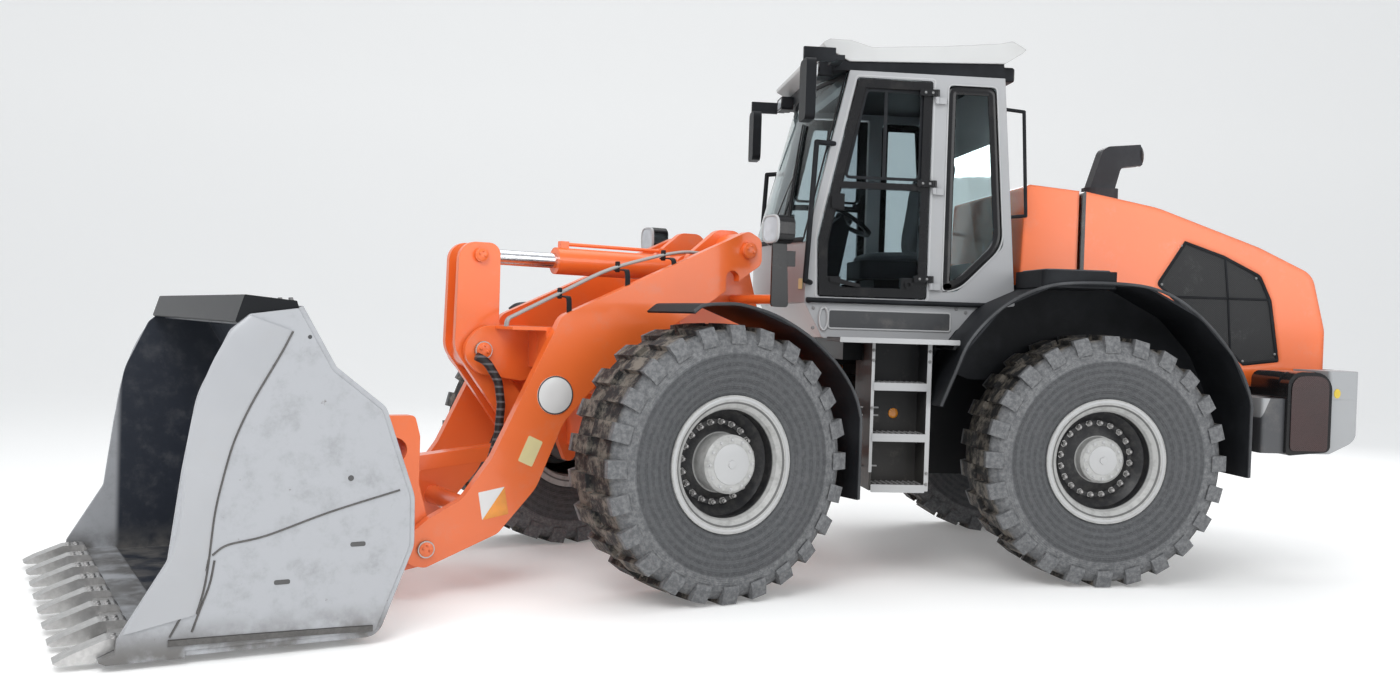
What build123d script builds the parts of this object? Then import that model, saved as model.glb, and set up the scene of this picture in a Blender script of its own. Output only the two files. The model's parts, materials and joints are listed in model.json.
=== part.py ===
"""Articulated wheel loader of the 15 t class, with its bucket resting on the ground.

Two half-frames meet at a vertical hinge.  Everything on the rear half (cab, hood,
counterweight) is drawn straight about that hinge, X forwards, Y to the left, Z up
from the ground.  Everything on the front half (tower, boom, linkage, bucket) is
drawn straight in the same way and then turned about the hinge by rest_steer.
All lengths are millimetres, all angles degrees.
"""
import os
from math import atan2, cos, degrees, hypot, radians, sin

from build123d import *

os.makedirs("parts", exist_ok=True)

# ---------------------------------------------------------------- driving dimensions
rest_steer = 24.0          # the front half is stored turned this far to the left
hinge_x = -775.0           # hinge axis from the middle of the whole machine's box
hinge_y = -868.0
front_axle_x = 1470.0      # hinge to front axle
rear_axle_x = -1450.0      # hinge to rear axle
axle_z = 745.0             # wheel centres above the ground
track_half = 990.0         # middle of each tyre from the centre line

pin_fit = 0.05             # radial clearance of a pin in its bore
plate_gap = 6.0            # side clearance of plates that swing past each other

# places: each piece is moved from its half-frame to the whole machine
rear_place = Pos(hinge_x, hinge_y, 0)
front_place = rear_place * Rot(0, 0, rest_steer)


# ---------------------------------------------------------------- shared drawing helpers
def side_plane(y):
    """Vertical plane at width y; sketch axes are X and Z, extrusion runs inwards to -Y."""
    return Plane.XZ.offset(-y)


def outline(table):
    """Closed outline with a tangent arc at each corner; columns: across, up, corner radius."""
    with BuildLine() as path:
        FilletPolyline(*[(a, b) for a, b, _ in table], radius=[r for _, _, r in table], close=True)
    make_face(path.edges())


def keep(builder, name, place):
    """Move one finished piece to its place on the machine, label it and write its STEP."""
    piece = place * builder.part
    piece.label = name
    export_step(piece, f"parts/{name}.step")
    return piece


# ---------------------------------------------------------------- wheels
tyre_radius = axle_z
tyre_width = 520.0
lug_height = 30.0
lug_count = 24             # per side of the tread
lug_width = 92.0
bead_radius = 318.0
flange_radius = 368.0
rim_half = 222.0
hub_bore_radius = 92.0

tread_radius = tyre_radius - lug_height
tyre_half = tyre_width / 2

with BuildPart() as tyre:
    # cross-section turned about the axle line: bead, bulging wall, shoulder, crown
    with BuildSketch(Plane.XY):
        with BuildLine():
            Polyline((-rim_half + 25, bead_radius), (rim_half - 25, bead_radius), (rim_half - 8, flange_radius),
                     (rim_half - 8, flange_radius + 6))
            ThreePointArc((rim_half - 8, flange_radius + 6), (tyre_half - 4, 520), (tyre_half - 22, 665))
            Polyline((tyre_half - 22, 665), (tyre_half - 62, tread_radius), (-tyre_half + 62, tread_radius),
                     (-tyre_half + 22, 665))
            ThreePointArc((-tyre_half + 22, 665), (-tyre_half + 4, 520), (-rim_half + 8, flange_radius + 6))
            Polyline((-rim_half + 8, flange_radius + 6), (-rim_half + 8, flange_radius), (-rim_half + 25, bead_radius))
        make_face()
    revolve(axis=Axis.X)
    # one tread lug, slanted on the crown and wrapped over the shoulder
    with BuildSketch(Plane.XZ.offset(-lug_width / 2)):
        outline([(14, tread_radius - 12, 1), (tyre_half - 30, tread_radius - 60, 1), (tyre_half - 6, 640, 1),
                 (tyre_half, 668, 1), (tyre_half - 26, tyre_radius - 6, 1), (14, tyre_radius, 1)])
    lug = extrude(amount=lug_width, mode=Mode.PRIVATE)
    right_lugs = [Rot(360 / lug_count * i, 0, 0) * lug for i in range(lug_count)]
    left_lugs = [Rot(360 / lug_count * (i + 0.5), 0, 180) * lug for i in range(lug_count)]
    add(right_lugs + left_lugs)

with BuildPart() as rim:
    # welded rim barrel with flanges, dished disc and bored hub, turned about the axle line
    with BuildSketch(Plane.XY):
        with BuildLine():
            Polyline((-rim_half, 300), (-rim_half + 25, 300), (-rim_half + 60, 285), (rim_half - 60, 285),
                     (rim_half - 25, 300), (rim_half, 330), (rim_half + 4, flange_radius), (rim_half - 8, flange_radius),
                     (rim_half - 25, bead_radius), (-rim_half + 25, bead_radius), (-rim_half + 8, flange_radius),
                     (-rim_half - 4, flange_radius), (-rim_half - 4, 330), close=True)
        make_face()
        with BuildLine():
            Polyline((20, hub_bore_radius + pin_fit), (60, hub_bore_radius + pin_fit), (60, 230), (110, 286),
                     (82, 286), (20, 240), close=True)
        make_face()
    revolve(axis=Axis.X)

hub_table = (              # per axle: how far the planetary hub stands out, its cap radius
    ("front", 214.0, 158.0),
    ("rear", 170.0, 135.0),
)
hubs = {}
for axle_name, hub_reach, cap_radius in hub_table:
    with BuildPart() as hub:
        with BuildSketch(Plane.XY):
            with BuildLine():
                Polyline((60, 0), (hub_reach, 0), (hub_reach, cap_radius - 14), (hub_reach - 14, cap_radius),
                         (90, cap_radius), (60, 205), close=True)
            make_face()
        revolve(axis=Axis.X)
    hubs[axle_name] = rim.part + hub.part

wheel_table = (            # wheel, half-frame, distance of the axle ahead of the hinge, side
    ("front_left", front_place, front_axle_x, 1, "front"),
    ("front_right", front_place, front_axle_x, -1, "front"),
    ("rear_left", rear_place, rear_axle_x, 1, "rear"),
    ("rear_right", rear_place, rear_axle_x, -1, "rear"),
)
for wheel_name, place, axle_x, side, axle_name in wheel_table:
    at_axle = place * Pos(axle_x, side * track_half, axle_z) * Rot(0, 0, 90 * side)
    rubber = at_axle * tyre.part
    rubber.label = f"tyre_{wheel_name}"
    export_step(rubber, f"parts/tyre_{wheel_name}.step")
    steel = at_axle * hubs[axle_name]
    steel.label = f"rim_{wheel_name}"
    export_step(steel, f"parts/rim_{wheel_name}.step")

# ---------------------------------------------------------------- axles
differential_radius = 215.0
axle_tube_radius = 120.0
hub_flange_radius = 200.0
spindle_radius = hub_bore_radius
hub_face = track_half + 20 - 5.0           # axle flange stops short of the disc
axle_pad_height = 200.0                    # their top above the axle line
axle_pad_half = 225.0                      # pads where the half-frame is bolted

with BuildPart() as axle:
    # lengthwise section of the housing turned about the axle line, with both spindles
    with BuildSketch(Plane.YZ):
        with BuildLine():
            Polyline((0, 0), (hub_face + 40, 0), (hub_face + 40, spindle_radius), (hub_face, spindle_radius),
                     (hub_face, hub_flange_radius), (hub_face - 190, hub_flange_radius),
                     (hub_face - 220, axle_tube_radius + 40), (560, axle_tube_radius), (260, axle_tube_radius + 20),
                     (differential_radius - 20, 170), (90, differential_radius), (0, differential_radius),
                     close=True)
        make_face()
    revolve(axis=Axis.Y)
    # differential nose towards the hinge
    with BuildSketch(Plane.YZ.offset(-360)):
        Circle(95)
    extrude(amount=300)
    mirror(about=Plane.XZ)
    with BuildSketch(Plane.XY.offset(100)):
        with Locations((0, axle_pad_half), (0, -axle_pad_half)):
            Rectangle(240, 80)
    extrude(amount=axle_pad_height - 100)
front_axle = keep(axle, "front_axle", front_place * Pos(front_axle_x, 0, axle_z))
rear_axle = keep(axle, "rear_axle", rear_place * Pos(rear_axle_x, 0, axle_z) * Rot(0, 0, 180))

# ---------------------------------------------------------------- linkage points, front half-frame (X, Z)
boom_root = (930.0, 1930.0)
boom_tip = (2880.0, 265.0)
tilt_base = (1120.0, 1820.0)
bellcrank_pivot = (2470.0, 1300.0)
bellcrank_top = (2476.0, 1833.0)
bellcrank_foot = (2080.0, 740.0)
link_nose = (2925.0, 650.0)
lift_base = (760.0, 800.0)
lift_eye = (2050.0, 1180.0)

arm_outer = 470.0
arm_thickness = 60.0
arm_inner = arm_outer - arm_thickness
tower_outer = 250.0
tower_plate = 50.0
tower_inner = tower_outer - tower_plate
root_pin_radius = 50.0
tip_pin_radius = 45.0
pivot_pin_radius = 50.0
small_pin_radius = 40.0
frame_bottom = 560.0

# steering cylinders: foot on the rear half-frame, eye on the front half-frame (X, Y on the left side)
steer_z = 960.0
steer_base_x = -330.0
steer_base_y = 250.0
steer_eye_x = 520.0
steer_eye_y = 400.0
steer_eye_half = 30.0
steer_pin_radius = 22.0

# head lamps
lamp_x = 905.0
lamp_y = 750.0
lamp_z = 2045.0

# hinge between the two half-frames: front lugs lie inside the rear fork lugs
hinge_pin_radius = 45.0
hinge_lug_radius = 130.0
front_lug_thickness = 60.0
rear_lug_thickness = 40.0
lower_lug_z = 640.0
upper_lug_z = 1180.0

# ---------------------------------------------------------------- front half-frame
with BuildPart() as front_frame:
    # side plates rise from the axle to the tower that carries the boom
    with BuildSketch(side_plane(tower_outer)):
        outline([(300, frame_bottom, 40), (1180, frame_bottom, 60), (1250, 800, 60),
                 (1270, axle_z + axle_pad_height, 60), (1690, axle_z + axle_pad_height, 60), (1720, 620, 40),
                 (1780, 620, 30), (1840, 760, 60), (1760, 1010, 60), (1420, 1110, 120), (1300, 1190, 120),
                 (1235, 1720, 60), (1220, 1890, 70), (1010, 2060, 80), (850, 2060, 80), (700, 1560, 200),
                 (520, 1290, 120), (300, 1240, 40)])
    extrude(amount=tower_plate)
    mirror(about=Plane.XZ)
    # hinge lugs and the cross wall that joins the plates behind the axle
    for lug_z in (lower_lug_z, upper_lug_z):
        with BuildSketch(Plane.XY.offset(lug_z)):
            Circle(hinge_lug_radius)
            with Locations((180, 0)):
                Rectangle(360, 2 * hinge_lug_radius)
            with Locations((340, 0)):
                Rectangle(120, 2 * tower_outer)
            Circle(hinge_pin_radius + pin_fit, mode=Mode.SUBTRACT)
        extrude(amount=front_lug_thickness)
    with BuildSketch(Plane.YZ.offset(360)):
        with Locations((0, (frame_bottom + 1240) / 2)):
            Rectangle(2 * tower_outer - 20, 1240 - frame_bottom)
    extrude(amount=40)
    # feet of the plates, bolted down on the axle pads
    with BuildSketch(Plane.XY.offset(axle_z + axle_pad_height)):
        with Locations((front_axle_x, axle_pad_half)):
            Rectangle(240, 80)
    extrude(amount=40)
    # boom root pin through the tower, seated in bosses outside the plates
    with BuildSketch(side_plane(arm_inner - plate_gap)):
        with Locations(boom_root):
            Circle(105)
    extrude(amount=arm_inner - plate_gap - tower_outer + tower_plate)
    with BuildSketch(side_plane(arm_outer + 25)):
        with Locations(boom_root):
            Circle(root_pin_radius)
    extrude(amount=arm_outer + 25 - tower_inner)
    # lift cylinder bracket outside the plate and its pin
    with BuildSketch(side_plane(430)):
        outline([(640, 690, 30), (860, 690, 60), (860, 880, 60), (640, 900, 30)])
    extrude(amount=30)
    with BuildSketch(side_plane(430)):
        with Locations(lift_base):
            Circle(small_pin_radius)
    extrude(amount=430 - tower_inner)
    with BuildSketch(Plane.YZ.offset(600)):
        with Locations((tower_outer + 90, 790)):
            Rectangle(180, 200)
    extrude(amount=40)
    # fender beam
    with BuildSketch(side_plane(735)):
        outline([(600, 1110, 10), (740, 1110, 10), (740, 1230, 10), (600, 1230, 10)])
    extrude(amount=735 - tower_outer)
    mirror(about=Plane.XZ)
    # tilt cylinder base pin between the tower plates
    with BuildSketch(side_plane(tower_inner)):
        with Locations(tilt_base):
            Circle(small_pin_radius)
    extrude(amount=2 * tower_inner)
    # cross walls: low behind and ahead of the axle, high in the tower
    for wall_x, wall_z, wall_height in ((1020, 640, 150), (1750, 865, 280), (1180, 1440, 360)):
        with BuildSketch(Plane.YZ.offset(wall_x)):
            with Locations((0, wall_z)):
                Rectangle(2 * tower_outer - 20, wall_height)
        extrude(amount=30)
    # steering cylinder lugs outside the plates and their upright pins
    for steer_side in (1, -1):
        for lug_z in (steer_z - steer_eye_half - plate_gap - 25, steer_z + steer_eye_half + plate_gap):
            with BuildSketch(Plane.XY.offset(lug_z)):
                with Locations((steer_eye_x, steer_side * steer_eye_y)):
                    Circle(45)
                with Locations((steer_eye_x, steer_side * (steer_eye_y + tower_inner + 10) / 2)):
                    Rectangle(90, steer_eye_y - tower_inner - 10)
            extrude(amount=25)
        for head_z in (steer_z - steer_eye_half - plate_gap - 32, steer_z + steer_eye_half + plate_gap + 10):
            with BuildSketch(Plane.XY.offset(head_z)):
                with Locations((steer_eye_x, steer_side * steer_eye_y)):
                    Circle(steer_pin_radius)
            extrude(amount=22)
    # arms that carry the head lamps
    with BuildSketch(side_plane(lamp_y - 2)):
        with Locations((lamp_x - 15, 1640)):
            Circle(28)
    extrude(amount=lamp_y - 2 - tower_inner)
    with BuildSketch(side_plane(-tower_inner)):
        with Locations((lamp_x - 15, 1640)):
            Circle(28)
    extrude(amount=lamp_y - 2 - tower_inner)
front_frame_part = keep(front_frame, "front_frame", front_place)

# fenders: a bent strip over each tyre, from the axle centre back and down to the flap
fender_inner = 735.0
fender_outer = 1245.0
fender_wall = 12.0
front_fender_line = [(1750, 1545, 0), (1690, 1590, 60), (1440, 1600, 300), (1050, 1465, 300), (776, 1250, 250),
                     (645, 1050, 200), (645, 525, 0)]


def strip(line, wall):
    """Bent strip: the line and the same line moved inwards by its wall make one closed outline."""
    with BuildLine() as path:
        FilletPolyline(*[(a, b) for a, b, _ in line], radius=[r for _, _, r in line][1:-1])
    with BuildLine() as band:
        add(path.line)
        offset(amount=wall, side=Side.LEFT)
    make_face(band.edges())


with BuildPart() as front_fenders:
    with BuildSketch(side_plane(fender_outer)):
        strip(front_fender_line, fender_wall)
    extrude(amount=fender_outer - fender_inner)
    mirror(about=Plane.XZ)
front_fenders_part = keep(front_fenders, "front_fenders", front_place)

# ---------------------------------------------------------------- boom
arm_profile = [            # X, Z, corner radius of one side plate
    (836, 2001, 60), (930, 2047, 60), (2135, 1504, 90), (2520, 735, 200), (2680, 520, 160), (2870, 420, 60),
    (2985, 330, 60), (2985, 190, 60), (2880, 165, 60), (2480, 322, 80), (2262, 560, 260), (2110, 915, 300),
    (1880, 1160, 300), (1515, 1420, 400), (1150, 1634, 200), (900, 1805, 60), (830, 1850, 60),
]
cross_tube = (2075.0, 1290.0)
cross_tube_radius = 115.0
nose_tube = (2540.0, 420.0)
nose_tube_radius = 55.0
bracket_outer = 155.0
bracket_plate = 40.0
lift_y = 335.0
lift_eye_half = 45.0
lift_lug_outer = lift_y + lift_eye_half + plate_gap
lift_lug_inner = lift_y - lift_eye_half - plate_gap
notch = (1035.0, 1760.0)

with BuildPart() as boom:
    with BuildSketch(side_plane(arm_outer)):
        outline(arm_profile)
        with Locations(notch):
            Circle(45, mode=Mode.SUBTRACT)
        with Locations((notch[0], notch[1] - 60)):
            Rectangle(90, 120, mode=Mode.SUBTRACT)
        with Locations(boom_root):
            Circle(root_pin_radius + pin_fit, mode=Mode.SUBTRACT)
        with Locations(boom_tip):
            Circle(tip_pin_radius + pin_fit, mode=Mode.SUBTRACT)
    extrude(amount=arm_thickness)
    # bracket plate that holds the bellcrank pivot, and the tube that ties it to the arm
    with BuildSketch(side_plane(bracket_outer)):
        outline([(1960, 1440, 40), (2480, 1440, 130), (2610, 1300, 110), (2500, 1170, 110), (2240, 1130, 60),
                 (1960, 1170, 60)])
        with Locations(bellcrank_pivot):
            Circle(pivot_pin_radius + pin_fit, mode=Mode.SUBTRACT)
    extrude(amount=bracket_plate)
    with BuildSketch(side_plane(lift_lug_inner)):
        with Locations(cross_tube):
            Circle(cross_tube_radius)
    extrude(amount=lift_lug_inner - bracket_outer)
    # lugs on both sides of the lift cylinder's eye, joined above it, and top plate of the cross box
    for lug_y, lug_width_y in ((arm_inner, arm_inner - lift_lug_outer), (lift_lug_inner, 24.0)):
        with BuildSketch(side_plane(lug_y)):
            outline([(1965, 1170, 80), (1965, 1430, 10), (2200, 1430, 10), (2200, 1290, 30), (2130, 1100, 75),
                     (1990, 1090, 75)])
        extrude(amount=lug_width_y)
    with BuildSketch(side_plane(arm_inner)):
        outline([(1985, 1305, 5), (1960, 1440, 5), (2400, 1440, 5), (2400, 1420, 5), (2200, 1420, 5),
                 (2195, 1210, 5), (2145, 1200, 5), (2125, 1270, 5)])
    extrude(amount=arm_inner - bracket_outer)
    # heads of the lift cylinder pin in its two lugs
    for head_y in (arm_inner - 2, lift_lug_inner - 4):
        with BuildSketch(side_plane(head_y)):
            with Locations(lift_eye):
                Circle(small_pin_radius)
        extrude(amount=20)
    # nose tube
    with BuildSketch(side_plane(arm_inner)):
        with Locations(nose_tube):
            Circle(nose_tube_radius)
    extrude(amount=arm_inner)
    mirror(about=Plane.XZ)
boom_part = keep(boom, "boom", front_place)

# ---------------------------------------------------------------- bellcrank, link and tilt cylinder
crank_outer = 100.0
crank_plate = 40.0
crank_inner = crank_outer - crank_plate
eye_half = crank_inner - plate_gap

with BuildPart() as bellcrank_pin:
    with BuildSketch(side_plane(bracket_outer + 20)):
        with Locations(bellcrank_pivot):
            Circle(pivot_pin_radius)
    extrude(amount=2 * bracket_outer + 40)
bellcrank_pin_part = keep(bellcrank_pin, "bellcrank_pin", front_place)

with BuildPart() as bellcrank:
    with BuildSketch(side_plane(crank_outer)):
        outline([(2357, 1905, 70), (2600, 1905, 100), (2615, 1300, 150), (2400, 1010, 300), (2150, 660, 80),
                 (2010, 670, 80), (2020, 790, 90), (2330, 1210, 250), (2357, 1500, 200)])
        with Locations(bellcrank_pivot):
            Circle(pivot_pin_radius + pin_fit, mode=Mode.SUBTRACT)
    extrude(amount=crank_plate)
    # hub that joins both plates round the pivot pin
    with BuildSketch(side_plane(crank_inner)):
        with Locations(bellcrank_pivot):
            Circle(110)
            Circle(pivot_pin_radius + pin_fit, mode=Mode.SUBTRACT)
    extrude(amount=crank_inner)
    # pin heads at the top eye and at the foot, short of the space between the plates
    with BuildSketch(side_plane(crank_outer + 25)):
        with Locations(bellcrank_top, bellcrank_foot):
            Circle(small_pin_radius)
    extrude(amount=35)
    mirror(about=Plane.XZ)
bellcrank_part = keep(bellcrank, "bellcrank", front_place)

barrel_length = 860.0
barrel_radius = 79.0
rod_radius = 45.0
rod_length = 900.0
eye_radius = 66.0


def along(start, end):
    """Plane at start whose normal points to end, both given as (X, Z) on the centre line."""
    return Plane(origin=(start[0], 0, start[1]), x_dir=(0, 1, 0),
                 z_dir=(end[0] - start[0], 0, end[1] - start[1]))


def distance(start, end):
    return hypot(end[0] - start[0], end[1] - start[1])


tilt_axis = along(tilt_base, bellcrank_top)
tilt_length = distance(tilt_base, bellcrank_top)
with BuildPart() as tilt_barrel:
    with BuildSketch(tilt_axis.offset(95)):
        Circle(barrel_radius)
    extrude(amount=barrel_length - 95)
    with BuildSketch(side_plane(eye_half + 20)):
        with Locations(tilt_base):
            Circle(85)
    extrude(amount=2 * (eye_half + 20))
    with BuildSketch(tilt_axis):
        Rectangle(110, 110)
    extrude(amount=110)
    # oil pipe along the top, between a port block at each end
    with BuildSketch(tilt_axis.offset(130)):
        with Locations((0, barrel_radius + 22)):
            Circle(11)
    extrude(amount=barrel_length - 190)
    for port in (115, barrel_length - 80):
        with BuildSketch(tilt_axis.offset(port)):
            with Locations((0, barrel_radius + 8)):
                Rectangle(46, 60)
        extrude(amount=52)
    with BuildSketch(side_plane(tower_inner)):
        with Locations(tilt_base):
            Circle(small_pin_radius + pin_fit)
    extrude(amount=2 * tower_inner, mode=Mode.SUBTRACT)
    with BuildSketch(tilt_axis.offset(160)):
        Circle(rod_radius + pin_fit)
    extrude(amount=barrel_length, mode=Mode.SUBTRACT)
tilt_barrel_part = keep(tilt_barrel, "tilt_barrel", front_place)

with BuildPart() as tilt_rod:
    with BuildSketch(tilt_axis.offset(tilt_length - rod_length)):
        Circle(rod_radius)
    extrude(amount=rod_length - 30)
    with BuildSketch(side_plane(eye_half)):
        with Locations(bellcrank_top):
            Circle(eye_radius)
            Circle(small_pin_radius + pin_fit, mode=Mode.SUBTRACT)
    extrude(amount=2 * eye_half)
tilt_rod_part = keep(tilt_rod, "tilt_rod", front_place)

link_half = eye_half
with BuildPart() as link_pin:
    with BuildSketch(side_plane(crank_outer + 15)):
        with Locations(link_nose):
            Circle(small_pin_radius)
    extrude(amount=2 * crank_outer + 30)
link_pin_part = keep(link_pin, "link_pin", front_place)

link_axis = along(link_nose, bellcrank_foot)
with BuildPart() as tilt_link:
    with BuildSketch(side_plane(link_half)):
        with Locations(link_nose):
            Circle(60)
        with Locations(bellcrank_foot):
            Circle(66)
    extrude(amount=2 * link_half)
    with BuildSketch(link_axis):
        Rectangle(2 * link_half, 84)
    extrude(amount=distance(link_nose, bellcrank_foot))
    with BuildSketch(side_plane(link_half)):
        with Locations(link_nose):
            Circle(small_pin_radius + pin_fit)
        with Locations(bellcrank_foot):
            Circle(small_pin_radius + 4)
    extrude(amount=2 * link_half, mode=Mode.SUBTRACT)
tilt_link_part = keep(tilt_link, "tilt_link", front_place)

# ---------------------------------------------------------------- hose bundle of the quick coupler, held by the boom
hose_y = 222.0
hose_radius = 24.0
hose_line = [(2510, 505), (2440, 660), (2392, 830), (2380, 1000), (2400, 1130), (2470, 1238), (2580, 1290),
             (2675, 1250), (2712, 1130), (2716, 1010)]

with BuildPart() as boom_hoses:
    with BuildLine(Plane.XZ.offset(-hose_y)) as hose_path:
        FilletPolyline(*hose_line, radius=120)
    with BuildSketch(Plane(origin=hose_path.line @ 0, z_dir=hose_path.line % 0)):
        Circle(hose_radius)
    sweep(path=hose_path.line)
    with BuildSketch(side_plane(hose_y + 40)):
        with Locations((2516, 486)):
            Rectangle(70, 44, rotation=-65)
    extrude(amount=80)
    add(boom.part, mode=Mode.SUBTRACT)
boom_hoses_part = keep(boom_hoses, "boom_hoses", front_place)

# ---------------------------------------------------------------- quick coupler
coupler_outer = arm_inner - plate_gap
coupler_plate = 50.0
coupler_inner = 330.0
upper_tube = (3035.0, 778.0)
upper_tube_radius = 100.0
upper_tube_bore = 66.0
lower_tube = (3120.0, 330.0)

with BuildPart() as bucket_pins:
    for y_out in (arm_outer + 20, -coupler_inner + 20):
        with BuildSketch(side_plane(y_out)):
            with Locations(boom_tip):
                Circle(tip_pin_radius)
        extrude(amount=arm_outer + 40 - coupler_inner)
bucket_pins_part = keep(bucket_pins, "bucket_pins", front_place)

with BuildPart() as coupler:
    with BuildSketch(side_plane(coupler_outer)):
        outline([(2930, 960, 30), (3120, 960, 30), (3190, 700, 60), (3190, 200, 60), (3060, 130, 60),
                 (2870, 165, 95), (2785, 260, 95), (2840, 380, 60), (2900, 600, 80), (2900, 850, 60)])
        with Locations(upper_tube):
            Circle(upper_tube_bore, mode=Mode.SUBTRACT)
        with Locations(boom_tip):
            Circle(tip_pin_radius + pin_fit, mode=Mode.SUBTRACT)
    extrude(amount=coupler_outer - coupler_inner)
    with BuildSketch(side_plane(coupler_outer)):
        with Locations(upper_tube):
            Circle(upper_tube_radius)
            Circle(upper_tube_bore, mode=Mode.SUBTRACT)
    extrude(amount=coupler_outer)
    with BuildSketch(side_plane(coupler_inner)):
        with Locations(lower_tube):
            Circle(55)
    extrude(amount=coupler_inner)
    # lugs for the tilt link, welded to the upper tube
    with BuildSketch(side_plane(crank_outer)):
        outline([(2850, 700, 40), (2860, 570, 60), (3000, 570, 40), (3090, 700, 40), (3035, 840, 40)])
        with Locations(upper_tube):
            Circle(upper_tube_bore, mode=Mode.SUBTRACT)
        with Locations(link_nose):
            Circle(small_pin_radius + pin_fit, mode=Mode.SUBTRACT)
    extrude(amount=crank_plate)
    mirror(about=Plane.XZ)
coupler_part = keep(coupler, "coupler", front_place)

# ---------------------------------------------------------------- bucket
bucket_half = 1265.0
side_wall = 20.0
shell_wall = 22.0
bucket_side = [            # X, Z, corner radius of a side plate
    (4440, 60, 3), (4432, 130, 10), (4245, 440, 60), (4197, 814, 500), (4145, 1125, 400), (4020, 1399, 60),
    (3940, 1470, 10), (3740, 1500, 10), (3588, 1233, 60), (3362, 1055, 60), (3225, 660, 120), (3222, 440, 120),
    (3373, 60, 30),
]
shell_line = [(4440, 60, 0), (3373, 60, 60), (3222, 440, 120), (3225, 660, 120), (3362, 1055, 60),
              (3588, 1233, 60), (3740, 1500, 0)]

with BuildPart() as bucket:
    with BuildSketch(side_plane(bucket_half)):
        outline(bucket_side)
    extrude(amount=side_wall)
    mirror(about=Plane.XZ)
    with BuildSketch(side_plane(bucket_half - 5)):
        strip(shell_line, -shell_wall)
    extrude(amount=2 * bucket_half - 10)
    # box section along the top of the mouth
    with BuildSketch(side_plane(bucket_half - 5)):
        outline([(3740, 1500, 3), (3940, 1470, 3), (3930, 1420, 3), (3700, 1430, 3)])
    extrude(amount=2 * bucket_half - 10)
    # lip plate, thicker than the floor
    with BuildSketch(side_plane(bucket_half)):
        outline([(4170, 30, 2), (4470, 30, 2), (4500, 45, 2), (4430, 75, 2), (4170, 75, 2)])
    extrude(amount=2 * bucket_half)
    # two seats on the back that bear on the coupler
    with BuildSketch(side_plane(arm_inner - plate_gap)):
        outline([(3190, 860, 5), (3300, 860, 5), (3240, 660, 5), (3240, 440, 5), (3300, 250, 5), (3190, 250, 5)])
    extrude(amount=coupler_plate)
    mirror(about=Plane.XZ)
bucket_part = keep(bucket, "bucket", front_place)

tooth_count = 8
tooth_pitch = 326.0
with BuildPart() as bucket_teeth:
    for i in range(tooth_count):
        tooth_y = (i - (tooth_count - 1) / 2) * tooth_pitch
        with BuildSketch(side_plane(tooth_y + 55)):
            outline([(4330, 75, 3), (4350, 122, 20), (4460, 122, 20), (4600, 70, 3), (4660, 40, 2), (4640, 30, 2),
                     (4502, 30, 2), (4502, 46, 2), (4436, 75, 3)])
        extrude(amount=110)
bucket_teeth_part = keep(bucket_teeth, "bucket_teeth", front_place)

with BuildPart() as spill_guard:
    with BuildSketch(side_plane(bucket_half - 15)):
        outline([(3735, 1501, 2), (3940, 1471, 2), (3990, 1430, 2), (3998, 1438, 2), (3962, 1552, 4), (3745, 1532, 4)])
    extrude(amount=2 * (bucket_half - 15))
    add(bucket.part, mode=Mode.SUBTRACT)
spill_guard_part = keep(spill_guard, "spill_guard", front_place)

# ---------------------------------------------------------------- lift cylinders (pair moves together)
lift_barrel_radius = 62.0
lift_rod_radius = 36.0
lift_barrel_length = 1215.0
lift_rod_length = 1230.0


def cylinder_plane(start, end, y):
    """Plane at start and width y, normal pointing to end."""
    return Plane(origin=(start[0], y, start[1]), x_dir=(0, 1, 0), z_dir=(end[0] - start[0], 0, end[1] - start[1]))


lift_length = distance(lift_base, lift_eye)
with BuildPart() as lift_barrels:
    for y in (lift_y, -lift_y):
        start = cylinder_plane(lift_base, lift_eye, y)
        with BuildSketch(start.offset(60)):
            Circle(lift_barrel_radius)
        extrude(amount=lift_barrel_length - 60)
        with BuildSketch(side_plane(y + lift_eye_half)):
            with Locations(lift_base):
                Circle(72)
        extrude(amount=2 * lift_eye_half)
        with BuildSketch(side_plane(y + lift_eye_half + 5)):
            with Locations(lift_base):
                Circle(small_pin_radius + pin_fit)
        extrude(amount=2 * lift_eye_half + 10, mode=Mode.SUBTRACT)
        with BuildSketch(start.offset(80)):
            Circle(lift_rod_radius + pin_fit)
        extrude(amount=lift_barrel_length, mode=Mode.SUBTRACT)
lift_barrels_part = keep(lift_barrels, "lift_barrels", front_place)

with BuildPart() as lift_rods:
    for y in (lift_y, -lift_y):
        start = cylinder_plane(lift_base, lift_eye, y)
        with BuildSketch(start.offset(lift_length - lift_rod_length)):
            Circle(lift_rod_radius)
        extrude(amount=lift_rod_length - 20)
        with BuildSketch(side_plane(y + lift_eye_half)):
            with Locations(lift_eye):
                Circle(68)
        extrude(amount=2 * lift_eye_half)
lift_rods_part = keep(lift_rods, "lift_rods", front_place)

# ---------------------------------------------------------------- head lamps on the front half-frame
lamp_half = 82.0
lamp_depth = 110.0
lens_depth = 10.0

with BuildPart() as headlamps:
    # square lamp with rounded corners on an upright bracket, and the turn lamp behind it
    with BuildSketch(Plane.YZ.offset(lamp_x - 60)):
        with Locations((lamp_y, lamp_z)):
            RectangleRounded(2 * lamp_half, 2 * lamp_half, 55)
    extrude(amount=lamp_depth)
    with BuildSketch(side_plane(lamp_y + 10)):
        outline([(830, 1595, 20), (950, 1595, 20), (950, 1960, 40), (930, 2110, 10), (870, 2110, 10),
                 (850, 1960, 40)])
    extrude(amount=12)
    with BuildSketch(Plane.YZ.offset(780)):
        with Locations((lamp_y - 40, 1880)):
            Rectangle(76, 90)
    extrude(amount=100)
    mirror(about=Plane.XZ)
headlamps_part = keep(headlamps, "headlamps", front_place)

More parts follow.
